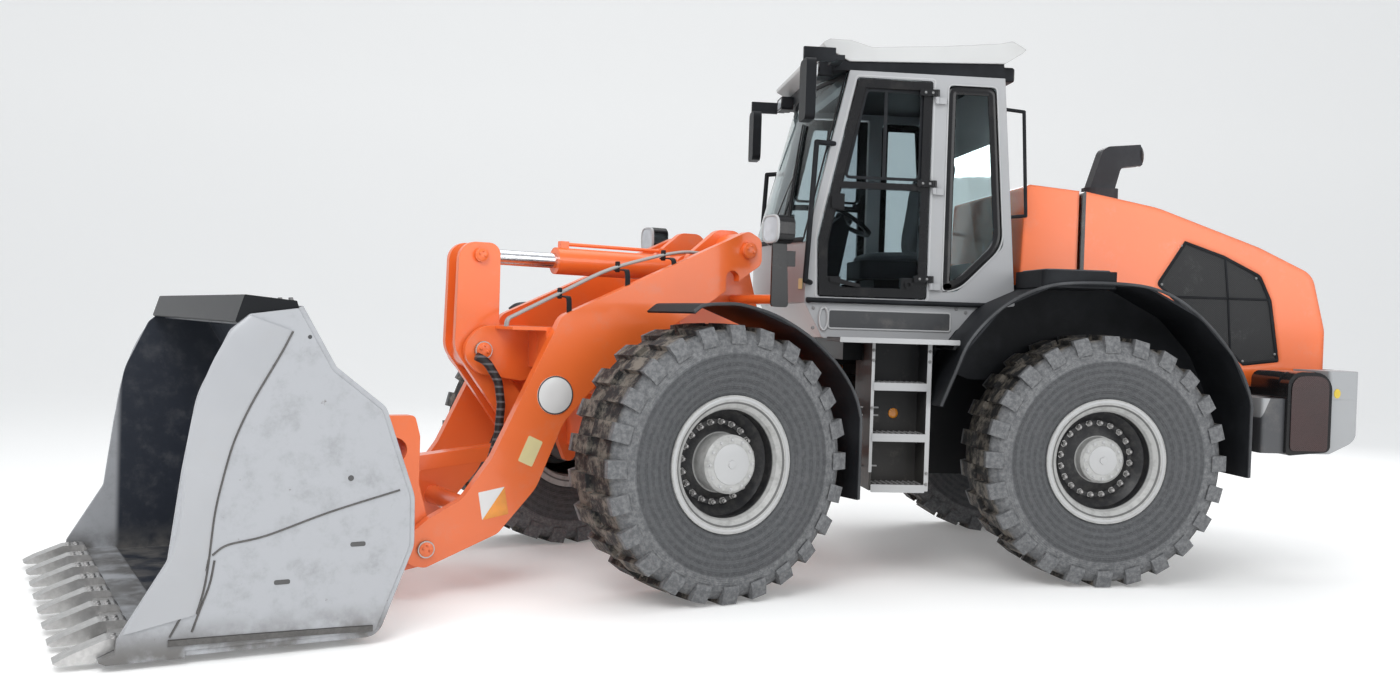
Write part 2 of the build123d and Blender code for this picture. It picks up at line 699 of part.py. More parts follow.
with BuildPart() as headlamp_lenses:
    # clear lens of the square lamp and amber lens of the turn lamp, each inside its housing's rim
    with BuildSketch(Plane.YZ.offset(lamp_x - 60 + lamp_depth)):
        with Locations((lamp_y, lamp_z)):
            RectangleRounded(2 * lamp_half - 28, 2 * lamp_half - 28, 44)
    extrude(amount=lens_depth)
    with BuildSketch(Plane.YZ.offset(880)):
        with Locations((lamp_y - 40, 1880)):
            Rectangle(56, 70)
    extrude(amount=lens_depth)
    mirror(about=Plane.XZ)
headlamp_lenses_part = keep(headlamp_lenses, "headlamp_lenses", front_place)

# ---------------------------------------------------------------- rear half-frame
rail_outer = 360.0
rail_plate = 40.0
rail_top = 1250.0
rail_bottom = 820.0
rail_end = -2880.0
cab_floor_z = 1420.0
sill_top = 1650.0
mount_half = 660.0         # rear cab mounts from the centre line
cover_half = 700.0

with BuildPart() as rear_frame:
    # rails on edge, arched over the rear axle, with the risers under the cab
    with BuildSketch(side_plane(rail_outer)):
        outline([(-380, frame_bottom, 40), (-960, frame_bottom, 60), (-1180, 905, 60), (-1720, 905, 60),
                 (-1860, 700, 60), (-2500, 700, 60), (rail_end, rail_bottom, 40), (rail_end, rail_top, 20),
                 (-380, rail_top, 20)])
        outline([(-640, rail_top - 10, 2), (-400, rail_top - 10, 2), (-380, rail_top + 16, 2),
                 (40, rail_top + 16, 2), (40, cab_floor_z - 20, 2), (-640, cab_floor_z - 20, 2)])
    extrude(amount=rail_plate)
    mirror(about=Plane.XZ)
    with BuildSketch(Plane.YZ.offset(-420)):
        with Locations((0, (frame_bottom + rail_top) / 2)):
            Rectangle(2 * rail_outer - 20, rail_top - frame_bottom)
    extrude(amount=40)
    # fork lugs above and below each front lug, with the hinge pins
    for lug_z in (lower_lug_z, upper_lug_z):
        for z in (lug_z - rear_lug_thickness - plate_gap, lug_z + front_lug_thickness + plate_gap):
            with BuildSketch(Plane.XY.offset(z)):
                Circle(hinge_lug_radius)
                with Locations((-195, 0)):
                    Rectangle(390, 2 * hinge_lug_radius)
            extrude(amount=rear_lug_thickness)
        with BuildSketch(Plane.XY.offset(lug_z - rear_lug_thickness - plate_gap - 15)):
            Circle(hinge_pin_radius)
        extrude(amount=front_lug_thickness + 2 * rear_lug_thickness + 2 * plate_gap + 30)
    # steering cylinder feet: two lugs and an upright pin on each side
    for steer_side in (1, -1):
        for lug_z in (steer_z - steer_eye_half - plate_gap - 25, steer_z + steer_eye_half + plate_gap):
            with BuildSketch(Plane.XY.offset(lug_z)):
                with Locations((steer_base_x, steer_side * steer_base_y)):
                    Circle(42)
                with Locations((steer_base_x - 30, steer_side * steer_base_y)):
                    Rectangle(60, 84)
            extrude(amount=25)
        with BuildSketch(Plane.XY.offset(steer_z - steer_eye_half - plate_gap - 30)):
            with Locations((steer_base_x, steer_side * steer_base_y)):
                Circle(steer_pin_radius)
        extrude(amount=2 * (steer_eye_half + plate_gap + 30))
    # cross beams under the cab and the posts of its rear mounts
    for beam_x, beam_length in ((-20, 120), (-610, 150)):
        with BuildSketch(Plane.XY.offset(cab_floor_z - 130)):
            with Locations((beam_x, 0)):
                Rectangle(beam_length, 1440)
        extrude(amount=130)
    with BuildSketch(Plane.XY.offset(rail_top)):
        with Locations((-985, 0)):
            Rectangle(70, 2 * mount_half + 80)
    extrude(amount=120)
    with BuildSketch(Plane.XY.offset(rail_top)):
        with Locations((-985, mount_half), (-985, -mount_half)):
            Rectangle(50, 80)
    extrude(amount=sill_top - 10 - rail_top)
    # wall that carries the cover behind the cab
    with BuildSketch(Plane.YZ.offset(-1430)):
        with Locations((0, rail_top + 90)):
            Rectangle(2 * cover_half - 60, 180)
    extrude(amount=30)
    # beam across the rear axle with its two feet, engine bearers, end wall
    with BuildSketch(Plane.XY.offset(1000)):
        with Locations((rear_axle_x, 0)):
            Rectangle(240, 2 * rail_outer - 20)
    extrude(amount=160)
    with BuildSketch(Plane.XY.offset(axle_z + axle_pad_height)):
        with Locations((rear_axle_x, axle_pad_half), (rear_axle_x, -axle_pad_half)):
            Rectangle(240, 80)
    extrude(amount=70)
    for bearer_x in (-1900, -2560):
        with BuildSketch(Plane.XY.offset(860)):
            with Locations((bearer_x, 0)):
                Rectangle(120, 2 * rail_outer - 20)
        extrude(amount=70)
    with BuildSketch(Plane.YZ.offset(rail_end)):
        with Locations((0, 1000)):
            Rectangle(2 * rail_outer, 330)
    extrude(amount=40)
rear_frame_part = keep(rear_frame, "rear_frame", rear_place)

with BuildPart() as engine_block:
    with BuildSketch(Plane.XY.offset(930)):
        with Locations((-2220, 0)):
            Rectangle(1000, 610)
    extrude(amount=850)
engine_block_part = keep(engine_block, "engine_block", rear_place)

# ---------------------------------------------------------------- counterweight and tail lamps
hood_hinge = (-3145.0, 1345.0)         # X, Z of the hood's hinge line
hood_pin_radius = 12.0
hood_knuckle_radius = 26.0
hood_lug_y = 440.0
hood_lug_width = 30.0
weight_bottom = 810.0
weight_deck = 1140.0
weight_top = 1312.0
weight_half = 1180.0
tow_pin_radius = 25.0
tow_slot_bottom = 920.0
tow_slot_height = 120.0

lamp_box_front = -2575.0
lamp_box_back = -2859.0
lamp_box_outer = 1205.0

with BuildPart() as tail_lamps:
    # tall lamp box with a rounded top, let into the flank of the counterweight
    with BuildSketch(side_plane(lamp_box_outer)):
        outline([(lamp_box_front, weight_bottom - 12, 25), (lamp_box_front, weight_top - 8, 90),
                 (lamp_box_back, weight_top - 8, 110), (lamp_box_back, weight_bottom + 15, 40)])
    extrude(amount=145)
    with BuildSketch(side_plane(lamp_box_outer - 100)):
        outline([(lamp_box_front, weight_deck, 10), (lamp_box_front, weight_top - 12, 60),
                 (lamp_box_back, weight_top - 7, 60), (lamp_box_back, weight_deck, 10)])
    extrude(amount=305)
    mirror(about=Plane.XZ)
tail_lamps_part = keep(tail_lamps, "tail_lamps", rear_place)

with BuildPart() as counterweight:
    # U-shaped casting round the ends of the rails, open towards the engine
    with BuildSketch(Plane.XY.offset(weight_bottom)):
        outline([(-2430, 790, 20), (rail_end, 790, 5), (rail_end, -790, 5), (-2430, -790, 20),
                 (-2430, -weight_half, 20), (-2850, -weight_half, 40), (-3110, -1090, 60), (-3190, -700, 60),
                 (-3190, 700, 60), (-3110, 1090, 60), (-2850, weight_half, 40), (-2430, weight_half, 20)])
    extrude(amount=weight_deck - weight_bottom)
    with BuildSketch(Plane.XY.offset(weight_deck)):
        outline([(-2860, 790, 5), (-3140, 790, 5), (-3140, -790, 5), (-2860, -790, 5), (-2860, -weight_half, 20),
                 (-3110, -1090, 60), (-3190, -700, 60), (-3190, 700, 60), (-3110, 1090, 60),
                 (-2860, weight_half, 20)])
    extrude(amount=weight_top - weight_deck)
    # towing jaw in the rear face with its pin hole
    with BuildSketch(Plane.XY.offset(tow_slot_bottom)):
        with Locations((-3150, 0)):
            Rectangle(300, 220)
    extrude(amount=tow_slot_height, mode=Mode.SUBTRACT)
    with BuildSketch(Plane.XY.offset(weight_bottom)):
        with Locations((-3090, 0)):
            Circle(tow_pin_radius)
    extrude(amount=weight_deck - weight_bottom, mode=Mode.SUBTRACT)
    # flanks swept up towards the rear, clear of the towing jaw
    for swept_y in (weight_half, -260):
        with BuildSketch(side_plane(swept_y)):
            outline([(-2862, weight_bottom - 5, 1), (-3060, weight_bottom + 62, 120), (-3195, weight_deck - 120, 40),
                     (-3250, weight_deck, 1), (-3250, weight_bottom - 5, 1)])
        extrude(amount=weight_half - 260, mode=Mode.SUBTRACT)
    add(tail_lamps.part, mode=Mode.SUBTRACT)
    # lugs and pins of the hood hinge
    for side in (1, -1):
        with BuildSketch(side_plane(side * hood_lug_y + hood_lug_width / 2)):
            with Locations(hood_hinge):
                Circle(hood_knuckle_radius)
            outline([(hood_hinge[0] - 26, hood_hinge[1], 1), (hood_hinge[0] - 40, weight_top - 20, 1),
                     (hood_hinge[0] + 3, weight_top - 20, 1), (hood_hinge[0] + 26, hood_hinge[1], 1)])
        extrude(amount=hood_lug_width)
        with BuildSketch(side_plane(side * (hood_lug_y + 20) + 40)):
            with Locations(hood_hinge):
                Circle(hood_pin_radius)
        extrude(amount=80)
counterweight_part = keep(counterweight, "counterweight", rear_place)


# ---------------------------------------------------------------- cab
cab_half = 800.0
cab_wall = 60.0
roof_z = 3040.0
cowl_top = 2000.0
cab_rear_low = -1010.0
cab_rear_high = -900.0
pillar_foot = 305.0
pillar_head = 70.0
windscreen_bow = 166.0
door_hinge_x = -470.0
door_hinge_y = cab_half + 22.0
door_hinge_z = (1730.0, 2310.0, 2860.0)    # bottom of each hinge's fixed knuckle
door_knuckle_radius = 14.0
door_pin_radius = 6.0
rail_half = cab_half - 15.0

cab_side = [               # X, Z, corner radius of the whole side
    (pillar_foot, sill_top - 20, 20), (pillar_foot, cowl_top, 60), (pillar_head, roof_z, 5),
    (cab_rear_high, roof_z, 5), (cab_rear_low, sill_top, 10), (-940, sill_top - 10, 20), (-640, 1490, 60),
    (-590, cab_floor_z, 30), (190, cab_floor_z, 30),
]
door_opening = [           # opening in the side that the door closes
    (228, sill_top + 20, 20), (240, 2020, 60), (22, roof_z - 40, 20), (door_hinge_x + 20, roof_z - 40, 20),
    (door_hinge_x + 20, sill_top + 20, 20),
]
rear_side_window = [
    (-545, roof_z - 55, 30), (-850, roof_z - 55, 30), (-925, 2010, 60), (-640, 1725, 60), (-545, 1725, 30),
]


def bowed_band(half, end_x, bow, wall):
    """Band bowed forwards, seen from above: from half to -half, ends at end_x, wall thick."""
    with BuildLine() as path:
        ThreePointArc((end_x, half), (end_x + bow, 0), (end_x, -half))
        Line((end_x, -half), (end_x - wall, -half))
        ThreePointArc((end_x - wall, -half), (end_x + bow - wall, 0), (end_x - wall, half))
        Line((end_x - wall, half), (end_x, half))
    make_face(path.edges())


with BuildPart() as cab_frame:
    with BuildSketch(side_plane(cab_half)):
        outline(cab_side)
    extrude(amount=cab_wall)
    for opening in (door_opening, rear_side_window):
        with BuildSketch(side_plane(cab_half)):
            outline(opening)
        extrude(amount=cab_wall, mode=Mode.SUBTRACT)
    mirror(about=Plane.XZ)
    # floor bent up at both ends, rear wall, header over the windscreen
    with BuildSketch(side_plane(cab_half - cab_wall)):
        outline([(pillar_foot, sill_top - 20, 2), (pillar_foot - 40, sill_top - 10, 2), (160, cab_floor_z + 50, 10),
                 (-570, cab_floor_z + 50, 10), (-620, 1540, 10), (-930, sill_top + 40, 10),
                 (cab_rear_low + 5, sill_top + 40, 2), (cab_rear_low, sill_top, 2), (-940, sill_top - 10, 20),
                 (-640, 1490, 30), (-590, cab_floor_z, 30), (190, cab_floor_z, 30)])
        outline([(cab_rear_low, sill_top, 2), (cab_rear_high, roof_z, 2), (cab_rear_high + 50, roof_z, 2),
                 (cab_rear_low + 50, sill_top, 2)])
        outline([(pillar_head, roof_z, 2), (pillar_head + 16, roof_z - 70, 2), (pillar_head - 44, roof_z - 70, 2),
                 (pillar_head - 50, roof_z, 2)])
    extrude(amount=2 * (cab_half - cab_wall))
    with BuildSketch(Plane.YZ.offset(-1100)):
        with Locations((0, 2460)):
            RectangleRounded(2 * (cab_half - cab_wall) - 100, 1040, 60)
    extrude(amount=220, mode=Mode.SUBTRACT)
    # bowed cowl below the windscreen
    with BuildSketch(Plane.XY.offset(sill_top - 20)):
        bowed_band(cab_half - 20, pillar_foot, windscreen_bow, 40)
        with BuildLine() as sill:
            ThreePointArc((pillar_foot, cab_half - 20), (pillar_foot + windscreen_bow, 0), (pillar_foot, 20 - cab_half))
            Line((pillar_foot, 20 - cab_half), (pillar_foot, cab_half - 20))
        make_face(sill.edges())
    extrude(amount=20)
    with BuildSketch(Plane.XY.offset(sill_top)):
        bowed_band(cab_half - 20, pillar_foot, windscreen_bow, 40)
    extrude(amount=cowl_top - sill_top)
    # door hinge lugs with their pins, standing out of the post behind each door
    for side in (1, -1):
        for lug_z in door_hinge_z:
            with BuildSketch(Plane.XY.offset(lug_z)):
                with Locations((door_hinge_x, side * door_hinge_y)):
                    Circle(door_knuckle_radius)
                with Locations((door_hinge_x - 30, side * (cab_half + door_hinge_y) / 2)):
                    Rectangle(60, door_hinge_y - cab_half + 4)
            extrude(amount=40)
            with BuildSketch(Plane.XY.offset(lug_z)):
                with Locations((door_hinge_x, side * door_hinge_y)):
                    Circle(door_pin_radius)
            extrude(amount=88)
cab_frame_part = keep(cab_frame, "cab_frame", rear_place)

with BuildPart() as cab_roof:
    with BuildSketch(side_plane(cab_half)):
        outline([(240, 3200, 10), (234, 3176, 6), (74, 3094, 30), (cab_rear_high, 3130, 30), (-1008, 3200, 12),
                 (-1030, 3222, 6), (-940, 3270, 30), (-860, 3250, 60), (-500, 3215, 200),
                 (-60, 3185, 100), (70, 3220, 30), (200, 3222, 10)])
    extrude(amount=2 * cab_half)
cab_roof_part = keep(cab_roof, "cab_roof", rear_place)

with BuildPart() as roof_rail:
    # black rail between the cab and its roof, with the work lamps at its corners
    with BuildSketch(side_plane(rail_half)):
        outline([(165, roof_z, 2), (150, 3150, 2), (-890, 3150, 2), (-912, roof_z, 2)])
    extrude(amount=2 * rail_half)
    for lamp_back, lamp_rise in ((160, 3062), (-985, 3085)):
        with BuildSketch(Plane.YZ.offset(lamp_back)):
            with Locations((620, lamp_rise), (-620, lamp_rise)):
                RectangleRounded(170, 92, 18)
        extrude(amount=78)
    add(cab_roof.part, mode=Mode.SUBTRACT)
roof_rail_part = keep(roof_rail, "roof_rail", rear_place)

glass = 6.0
with BuildPart() as cab_glass:
    # windscreen, bowed forwards and leaning back
    with BuildSketch(Plane.XY.offset(cowl_top)):
        bowed_band(cab_half - 20, pillar_foot + 8, windscreen_bow - 8, glass)
    with BuildSketch(Plane.XY.offset(roof_z)):
        bowed_band(cab_half - 20, pillar_head + 8, 110, glass)
    loft(ruled=True)
    # rear side panes and the rear window, set in their openings
    for y in (cab_half - 20, -cab_half + 20 + glass):
        with BuildSketch(side_plane(y)):
            outline(rear_side_window)
        extrude(amount=glass)
    with BuildSketch(Plane(origin=((cab_rear_low + cab_rear_high) / 2 + 25, 0, (sill_top + roof_z) / 2),
                           x_dir=(0, 1, 0), z_dir=(roof_z - sill_top, 0, cab_rear_low - cab_rear_high))):
        with Locations((0, 115)):
            RectangleRounded(2 * (cab_half - cab_wall) - 80, 1060, 60)
    extrude(amount=glass)
    add(cab_frame.part, mode=Mode.SUBTRACT)
cab_glass_part = keep(cab_glass, "cab_glass", rear_place)

# doors: framed glass, hinged on the post behind them
door_gap = 8.0
door_frame_width = 52.0
door_wall = 40.0
door_outer = cab_half + 6.0
door_bar = (-130.0, 2350.0)
door_lock = (-329.0, 1757.0)
door_plates = [            # middle X, middle Z, length, height
    (145, 1740, 110, 110), (-360, 1740, 150, 120), (125, 2246, 90, 100),
]


def inset(table, amount):
    """The same closed outline moved inwards by a fixed amount."""
    with BuildLine() as path:
        FilletPolyline(*[(a, b) for a, b, _ in table], radius=[r for _, _, r in table], close=True)
    with BuildLine() as smaller:
        offset(path.wires()[0], amount=-amount)
    make_face(smaller.edges())


for door_name, side, outer_y in (("door_left", 1, door_outer), ("door_right", -1, door_wall - door_outer)):
    with BuildPart() as door:
        with BuildSketch(side_plane(outer_y)):
            inset(door_opening, door_gap)
        extrude(amount=door_wall)
        with BuildSketch(side_plane(outer_y)):
            inset(door_opening, door_gap + door_frame_width)
        extrude(amount=door_wall, mode=Mode.SUBTRACT)
        with BuildSketch(side_plane(outer_y)):
            with Locations(door_bar):
                Rectangle(530, 40)
        extrude(amount=door_wall)
        # plates in the lower corners and behind the latch
        with BuildSketch(side_plane(outer_y)):
            for plate_x, plate_z, plate_long, plate_high in door_plates:
                with Locations((plate_x, plate_z)):
                    Rectangle(plate_long, plate_high)
        extrude(amount=door_wall)
        # latch housing, round lock and lever on the outer face
        with BuildSketch(side_plane(side * door_outer if side < 0 else door_outer + 18)):
            with Locations(door_lock):
                Circle(24)
                Circle(13, mode=Mode.SUBTRACT)
            with Locations((125, 2246)):
                RectangleRounded(76, 84, 12)
            outline([(160, 1796, 8), (-30, 1752, 8), (-30, 1730, 8), (160, 1762, 8)])
        extrude(amount=18)
        # hinge straps with their knuckles, one above each fixed knuckle
        for lug_z in door_hinge_z:
            with BuildSketch(Plane.XY.offset(lug_z + 45)):
                with Locations((door_hinge_x, side * door_hinge_y)):
                    Circle(door_knuckle_radius)
                with Locations((door_hinge_x + 55, side * (door_outer + 10))):
                    Rectangle(110, 28)
                with Locations((door_hinge_x, side * door_hinge_y)):
                    Circle(door_pin_radius + pin_fit, mode=Mode.SUBTRACT)
            extrude(amount=40)
    keep(door, door_name, rear_place)
    with BuildPart() as pane:
        with BuildSketch(side_plane(outer_y - 17)):
            inset(door_opening, door_gap + door_frame_width)
        extrude(amount=glass)
        add(door.part, mode=Mode.SUBTRACT)
    keep(pane, door_name + "_glass", rear_place)

with BuildPart() as operator_station:
    # seat on its pedestal
    with BuildSketch(Plane.XY.offset(cab_floor_z + 50)):
        with Locations((-420, 0)):
            Rectangle(280, 360)
    extrude(amount=340)
    with BuildSketch(Plane.XY.offset(cab_floor_z + 390)):
        with Locations((-430, 0)):
            RectangleRounded(500, 520, 90)
    extrude(amount=120)
    with BuildSketch(side_plane(250)):
        outline([(-590, 1900, 30), (-690, 2600, 60), (-790, 2600, 60), (-700, 1880, 30)])
    extrude(amount=500)
    with BuildSketch(side_plane(130)):
        outline([(-700, 2595, 20), (-730, 2800, 30), (-810, 2800, 30), (-780, 2595, 20)])
    extrude(amount=260)
    # steering column and wheel
    with BuildSketch(side_plane(90)):
        outline([(120, cab_floor_z + 50, 10), (0, cab_floor_z + 50, 10), (-125, 2140, 5), (-75, 2226, 5),
                 (40, 2130, 20)])
    extrude(amount=180)
    with BuildSketch(Plane(origin=(-100, 0, 2200), x_dir=(0, 1, 0), z_dir=(-0.6, 0, 1))):
        Circle(205)
        Circle(178, mode=Mode.SUBTRACT)
        Rectangle(380, 40)
        Circle(60)
    extrude(amount=26)
operator_station_part = keep(operator_station, "operator_station", rear_place)

# ---------------------------------------------------------------- rear fenders, steps
rear_fender_line = [(-424, 1050, 0), (-560, 1385, 150), (-770, 1640, 300), (-1100, 1790, 500), (-1640, 1790, 300),
                    (-1990, 1610, 300), (-2200, 1390, 300), (-2325, 1130, 200), (-2325, 665, 0)]

with BuildPart() as rear_fenders:
    with BuildSketch(side_plane(fender_outer)):
        strip(rear_fender_line, fender_wall)
    extrude(amount=fender_outer - fender_inner)
    # inner webs and the arms out to the rails
    with BuildSketch(side_plane(fender_inner + 12)):
        outline([(-600, 1110, 5), (-455, 1110, 5), (-515, 1260, 5), (-600, 1260, 5)])
        outline([(-2318, 960, 5), (-2210, 960, 5), (-2210, 1100, 5), (-2318, 1100, 5)])
    extrude(amount=12)
    for arm_x, arm_z in ((-560, 1180), (-2250, 1030)):
        with BuildSketch(side_plane(fender_inner)):
            with Locations((arm_x, arm_z)):
                Rectangle(80, 80)
        extrude(amount=fender_inner - rail_outer)
    # flat locker on top
    with BuildSketch(Plane.XY.offset(1760)):
        with Locations((-1250, 985)):
            RectangleRounded(460, 480, 40)
    extrude(amount=100)
    # cut back beside the cab
    with BuildSketch(side_plane(cab_half + 6)):
        with Locations((-700, 1800)):
            Rectangle(636, 860)
    extrude(amount=100, mode=Mode.SUBTRACT)
    mirror(about=Plane.XZ)
rear_fenders_part = keep(rear_fenders, "rear_fenders", rear_place)

ladder_front = -60.0
ladder_back = -405.0
ladder_outer = 1060.0
platform_outer = 1150.0
platform_z = 1405.0
with BuildPart() as access_steps:
    # platform beside the cab door, bent down at its rear edge
    with BuildSketch(side_plane(platform_outer)):
        outline([(160, platform_z, 4), (160, platform_z + 25, 4), (-555, platform_z + 25, 4), (-530, 1375, 4),
                 (-515, 1375, 4), (-525, platform_z, 4)])
    extrude(amount=platform_outer - cab_half - 2)
    # stringers, treads and the closed box behind them
    for x in (ladder_front, ladder_back + 12):
        with BuildSketch(Plane.YZ.offset(x - 12)):
            with Locations((ladder_outer - 100, 970)):
                Rectangle(200, 870)
        extrude(amount=12)
    for tread_z in (540, 840, 1140):
        with BuildSketch(Plane.XY.offset(tread_z)):
            with Locations(((ladder_front + ladder_back) / 2, ladder_outer - 95)):
                Rectangle(ladder_front - ladder_back, 190)
        extrude(amount=30)
    with BuildSketch(Plane.XY.offset(535)):
        with Locations((-242, 720)):
            Rectangle(324, 290)
    extrude(amount=platform_z - 535)
    mirror(about=Plane.XZ)
access_steps_part = keep(access_steps, "access_steps", rear_place)

# ---------------------------------------------------------------- covers behind the cab
hood_front = -1455.0
hood_wall = 24.0
cover_front = -1060.0
cover_back = hood_front + 12.0
hood_half = 722.0
hood_profile = [           # X, Z, corner radius of the closed side view
    (hood_front, 1330, 10), (hood_front, 2385, 20), (-1950, 2300, 600), (-2640, 2075, 500), (-3010, 1915, 140),
    (-3105, 1560, 200), (-3105, 1190, 20), (-2420, 1190, 10), (-2420, 1330, 20),
]
grille_window = [
    (-2140, 2100, 10), (-2410, 2015, 60), (-2660, 1900, 60), (-2740, 1740, 60), (-2805, 1350, 10),
    (-2560, 1320, 20), (-1960, 1820, 30),
]

with BuildPart() as hood:
    with BuildSketch(side_plane(hood_half)):
        outline(hood_profile)
    extrude(amount=2 * hood_half)
    # hollow from below and from the front
    with BuildSketch(side_plane(hood_half - hood_wall)):
        outline([(hood_front + 10, 1100, 1), (hood_front + 10, 2385 - hood_wall, 5), (-1950, 2300 - hood_wall, 590),
                 (-2632, 2075 - hood_wall, 480), (-2992, 1905, 120), (-3105 + hood_wall, 1560, 180),
                 (-3105 + hood_wall, 1100, 1)])
    extrude(amount=2 * (hood_half - hood_wall), mode=Mode.SUBTRACT)
    with BuildSketch(side_plane(hood_half)):
        outline(grille_window)
    extrude(amount=2 * hood_half, mode=Mode.SUBTRACT)
    # knuckles on the rear wall
    for side in (1, -1):
        with BuildSketch(side_plane(side * (hood_lug_y + hood_lug_width + 5) + hood_lug_width / 2)):
            with Locations(hood_hinge):
                Circle(hood_knuckle_radius)
            with Locations((hood_hinge[0] + 27, hood_hinge[1])):
                Rectangle(54, 2 * hood_knuckle_radius)
            with Locations(hood_hinge):
                Circle(hood_pin_radius + pin_fit, mode=Mode.SUBTRACT)
        extrude(amount=hood_lug_width)
hood_part = keep(hood, "hood", rear_place)

with BuildPart() as hood_grilles:
    with BuildSketch(side_plane(hood_half - 10)):
        outline(grille_window)
    extrude(amount=8)
    mirror(about=Plane.XZ)
hood_grilles_part = keep(hood_grilles, "hood_grilles", rear_place)

with BuildPart() as exhaust:
    with BuildSketch(Plane.XY.offset(2300)):
        with Locations((-1740, 330)):
            RectangleRounded(230, 150, 60)
    extrude(amount=150)
    with BuildSketch(side_plane(380)):
        outline([(-1650, 2440, 10), (-1740, 2720, 70), (-1990, 2745, 5), (-2005, 2610, 5), (-1860, 2590, 40),
                 (-1820, 2440, 10)])
    extrude(amount=100)
    add(hood.part, mode=Mode.SUBTRACT)
    with BuildSketch(Plane.XY.offset(2290)):
        with Locations((-1740, 330)):
            Rectangle(400, 400)
    extrude(amount=30, mode=Mode.SUBTRACT)
exhaust_part = keep(exhaust, "exhaust", rear_place)

with BuildPart() as mid_cover:
    with BuildSketch(side_plane(cover_half)):
        outline([(cover_front, rail_top + 180, 5), (cover_front - 35, 2415, 30), (cover_back, 2386, 5),
                 (cover_back, rail_top + 180, 5)])
    extrude(amount=2 * cover_half)
    with BuildSketch(side_plane(cover_half - hood_wall)):
        outline([(cover_front - 60, 1300, 1), (cover_front - 60, 2390, 1), (cover_back + 60, 2360, 1),
                 (cover_back + 60, 1300, 1)])
    extrude(amount=2 * (cover_half - hood_wall), mode=Mode.SUBTRACT)
mid_cover_part = keep(mid_cover, "mid_cover", rear_place)

# ---------------------------------------------------------------- fittings outside the cab
front_rail = [             # X, Y, Z of the corners of each grab rail
    (270, cab_half - 10, 1752), (320, cab_half + 70, 1760), (276, cab_half + 70, 2588), (150, cab_half - 10, 2594),
]
rear_rail = [
    (-890, cab_half - 40, 2862), (-1034, cab_half - 20, 2846), (-1068, cab_half - 20, 2209),
    (-940, cab_half - 40, 2195),
]
mirror_y = cab_half + 160.0

with BuildPart() as cab_fittings:
    # mirror hung from an arm on the roof edge
    with BuildSketch(Plane.YZ.offset(330)):
        with Locations((mirror_y, 2875)):
            RectangleRounded(200, 360, 40)
    extrude(amount=60)
    with BuildSketch(side_plane(mirror_y + 15)):
        with Locations((175, 3075)):
            Rectangle(60, 30)
    extrude(amount=mirror_y + 15 - rail_half)
    with BuildSketch(Plane.YZ.offset(200)):
        with Locations((mirror_y, 3090)):
            Rectangle(30, 80)
    extrude(amount=190)
    # grab rail beside the windscreen post and one at the rear corner of the cab
    for rail_radius, rail_line in ((16, front_rail), (11, rear_rail)):
        for start, end in zip(rail_line, rail_line[1:]):
            run = Vector(*end) - Vector(*start)
            with BuildSketch(Plane(origin=start, z_dir=run)):
                Circle(rail_radius)
            extrude(amount=run.length)
        with Locations(*rail_line[1:-1]):
            Sphere(rail_radius)
    add(cab_frame.part, mode=Mode.SUBTRACT)
    mirror(about=Plane.XZ)
cab_fittings_part = keep(cab_fittings, "cab_fittings", rear_place)

# ---------------------------------------------------------------- steering cylinders
steer_barrel_length = 525.0
steer_rod_length = 565.0
steer_barrel_radius = 42.0
steer_rod_radius = 24.0

for side_name, steer_side in (("left", 1), ("right", -1)):
    foot = Vector(steer_base_x, steer_side * steer_base_y, steer_z)
    eye = Vector(steer_eye_x, steer_side * steer_eye_y, steer_z).rotate(Axis.Z, rest_steer)
    steer_length = (eye - foot).length
    start = Plane(origin=foot, x_dir=(0, 0, 1), z_dir=eye - foot)
    with BuildPart() as steer_barrel:
        with BuildSketch(start.offset(55)):
            Circle(steer_barrel_radius)
        extrude(amount=steer_barrel_length - 55)
        with BuildSketch(start.offset(30)):
            Rectangle(2 * steer_eye_half, 50)
        extrude(amount=40)
        with BuildSketch(Plane.XY.offset(steer_z - steer_eye_half)):
            with Locations((foot.X, foot.Y)):
                Circle(42)
        extrude(amount=2 * steer_eye_half)
        with BuildSketch(Plane.XY.offset(steer_z - 100)):
            with Locations((foot.X, foot.Y)):
                Circle(steer_pin_radius + pin_fit)
        extrude(amount=200, mode=Mode.SUBTRACT)
        with BuildSketch(start.offset(62)):
            Circle(steer_rod_radius + pin_fit)
        extrude(amount=steer_barrel_length, mode=Mode.SUBTRACT)
    keep(steer_barrel, f"steer_barrel_{side_name}", rear_place)
    with BuildPart() as steer_rod:
        with BuildSketch(start.offset(steer_length - steer_rod_length)):
            Circle(steer_rod_radius)
        extrude(amount=steer_rod_length - 20)
        with BuildSketch(Plane.XY.offset(steer_z - steer_eye_half)):
            with Locations((eye.X, eye.Y)):
                Circle(42)
        extrude(amount=2 * steer_eye_half)
    keep(steer_rod, f"steer_rod_{side_name}", rear_place)
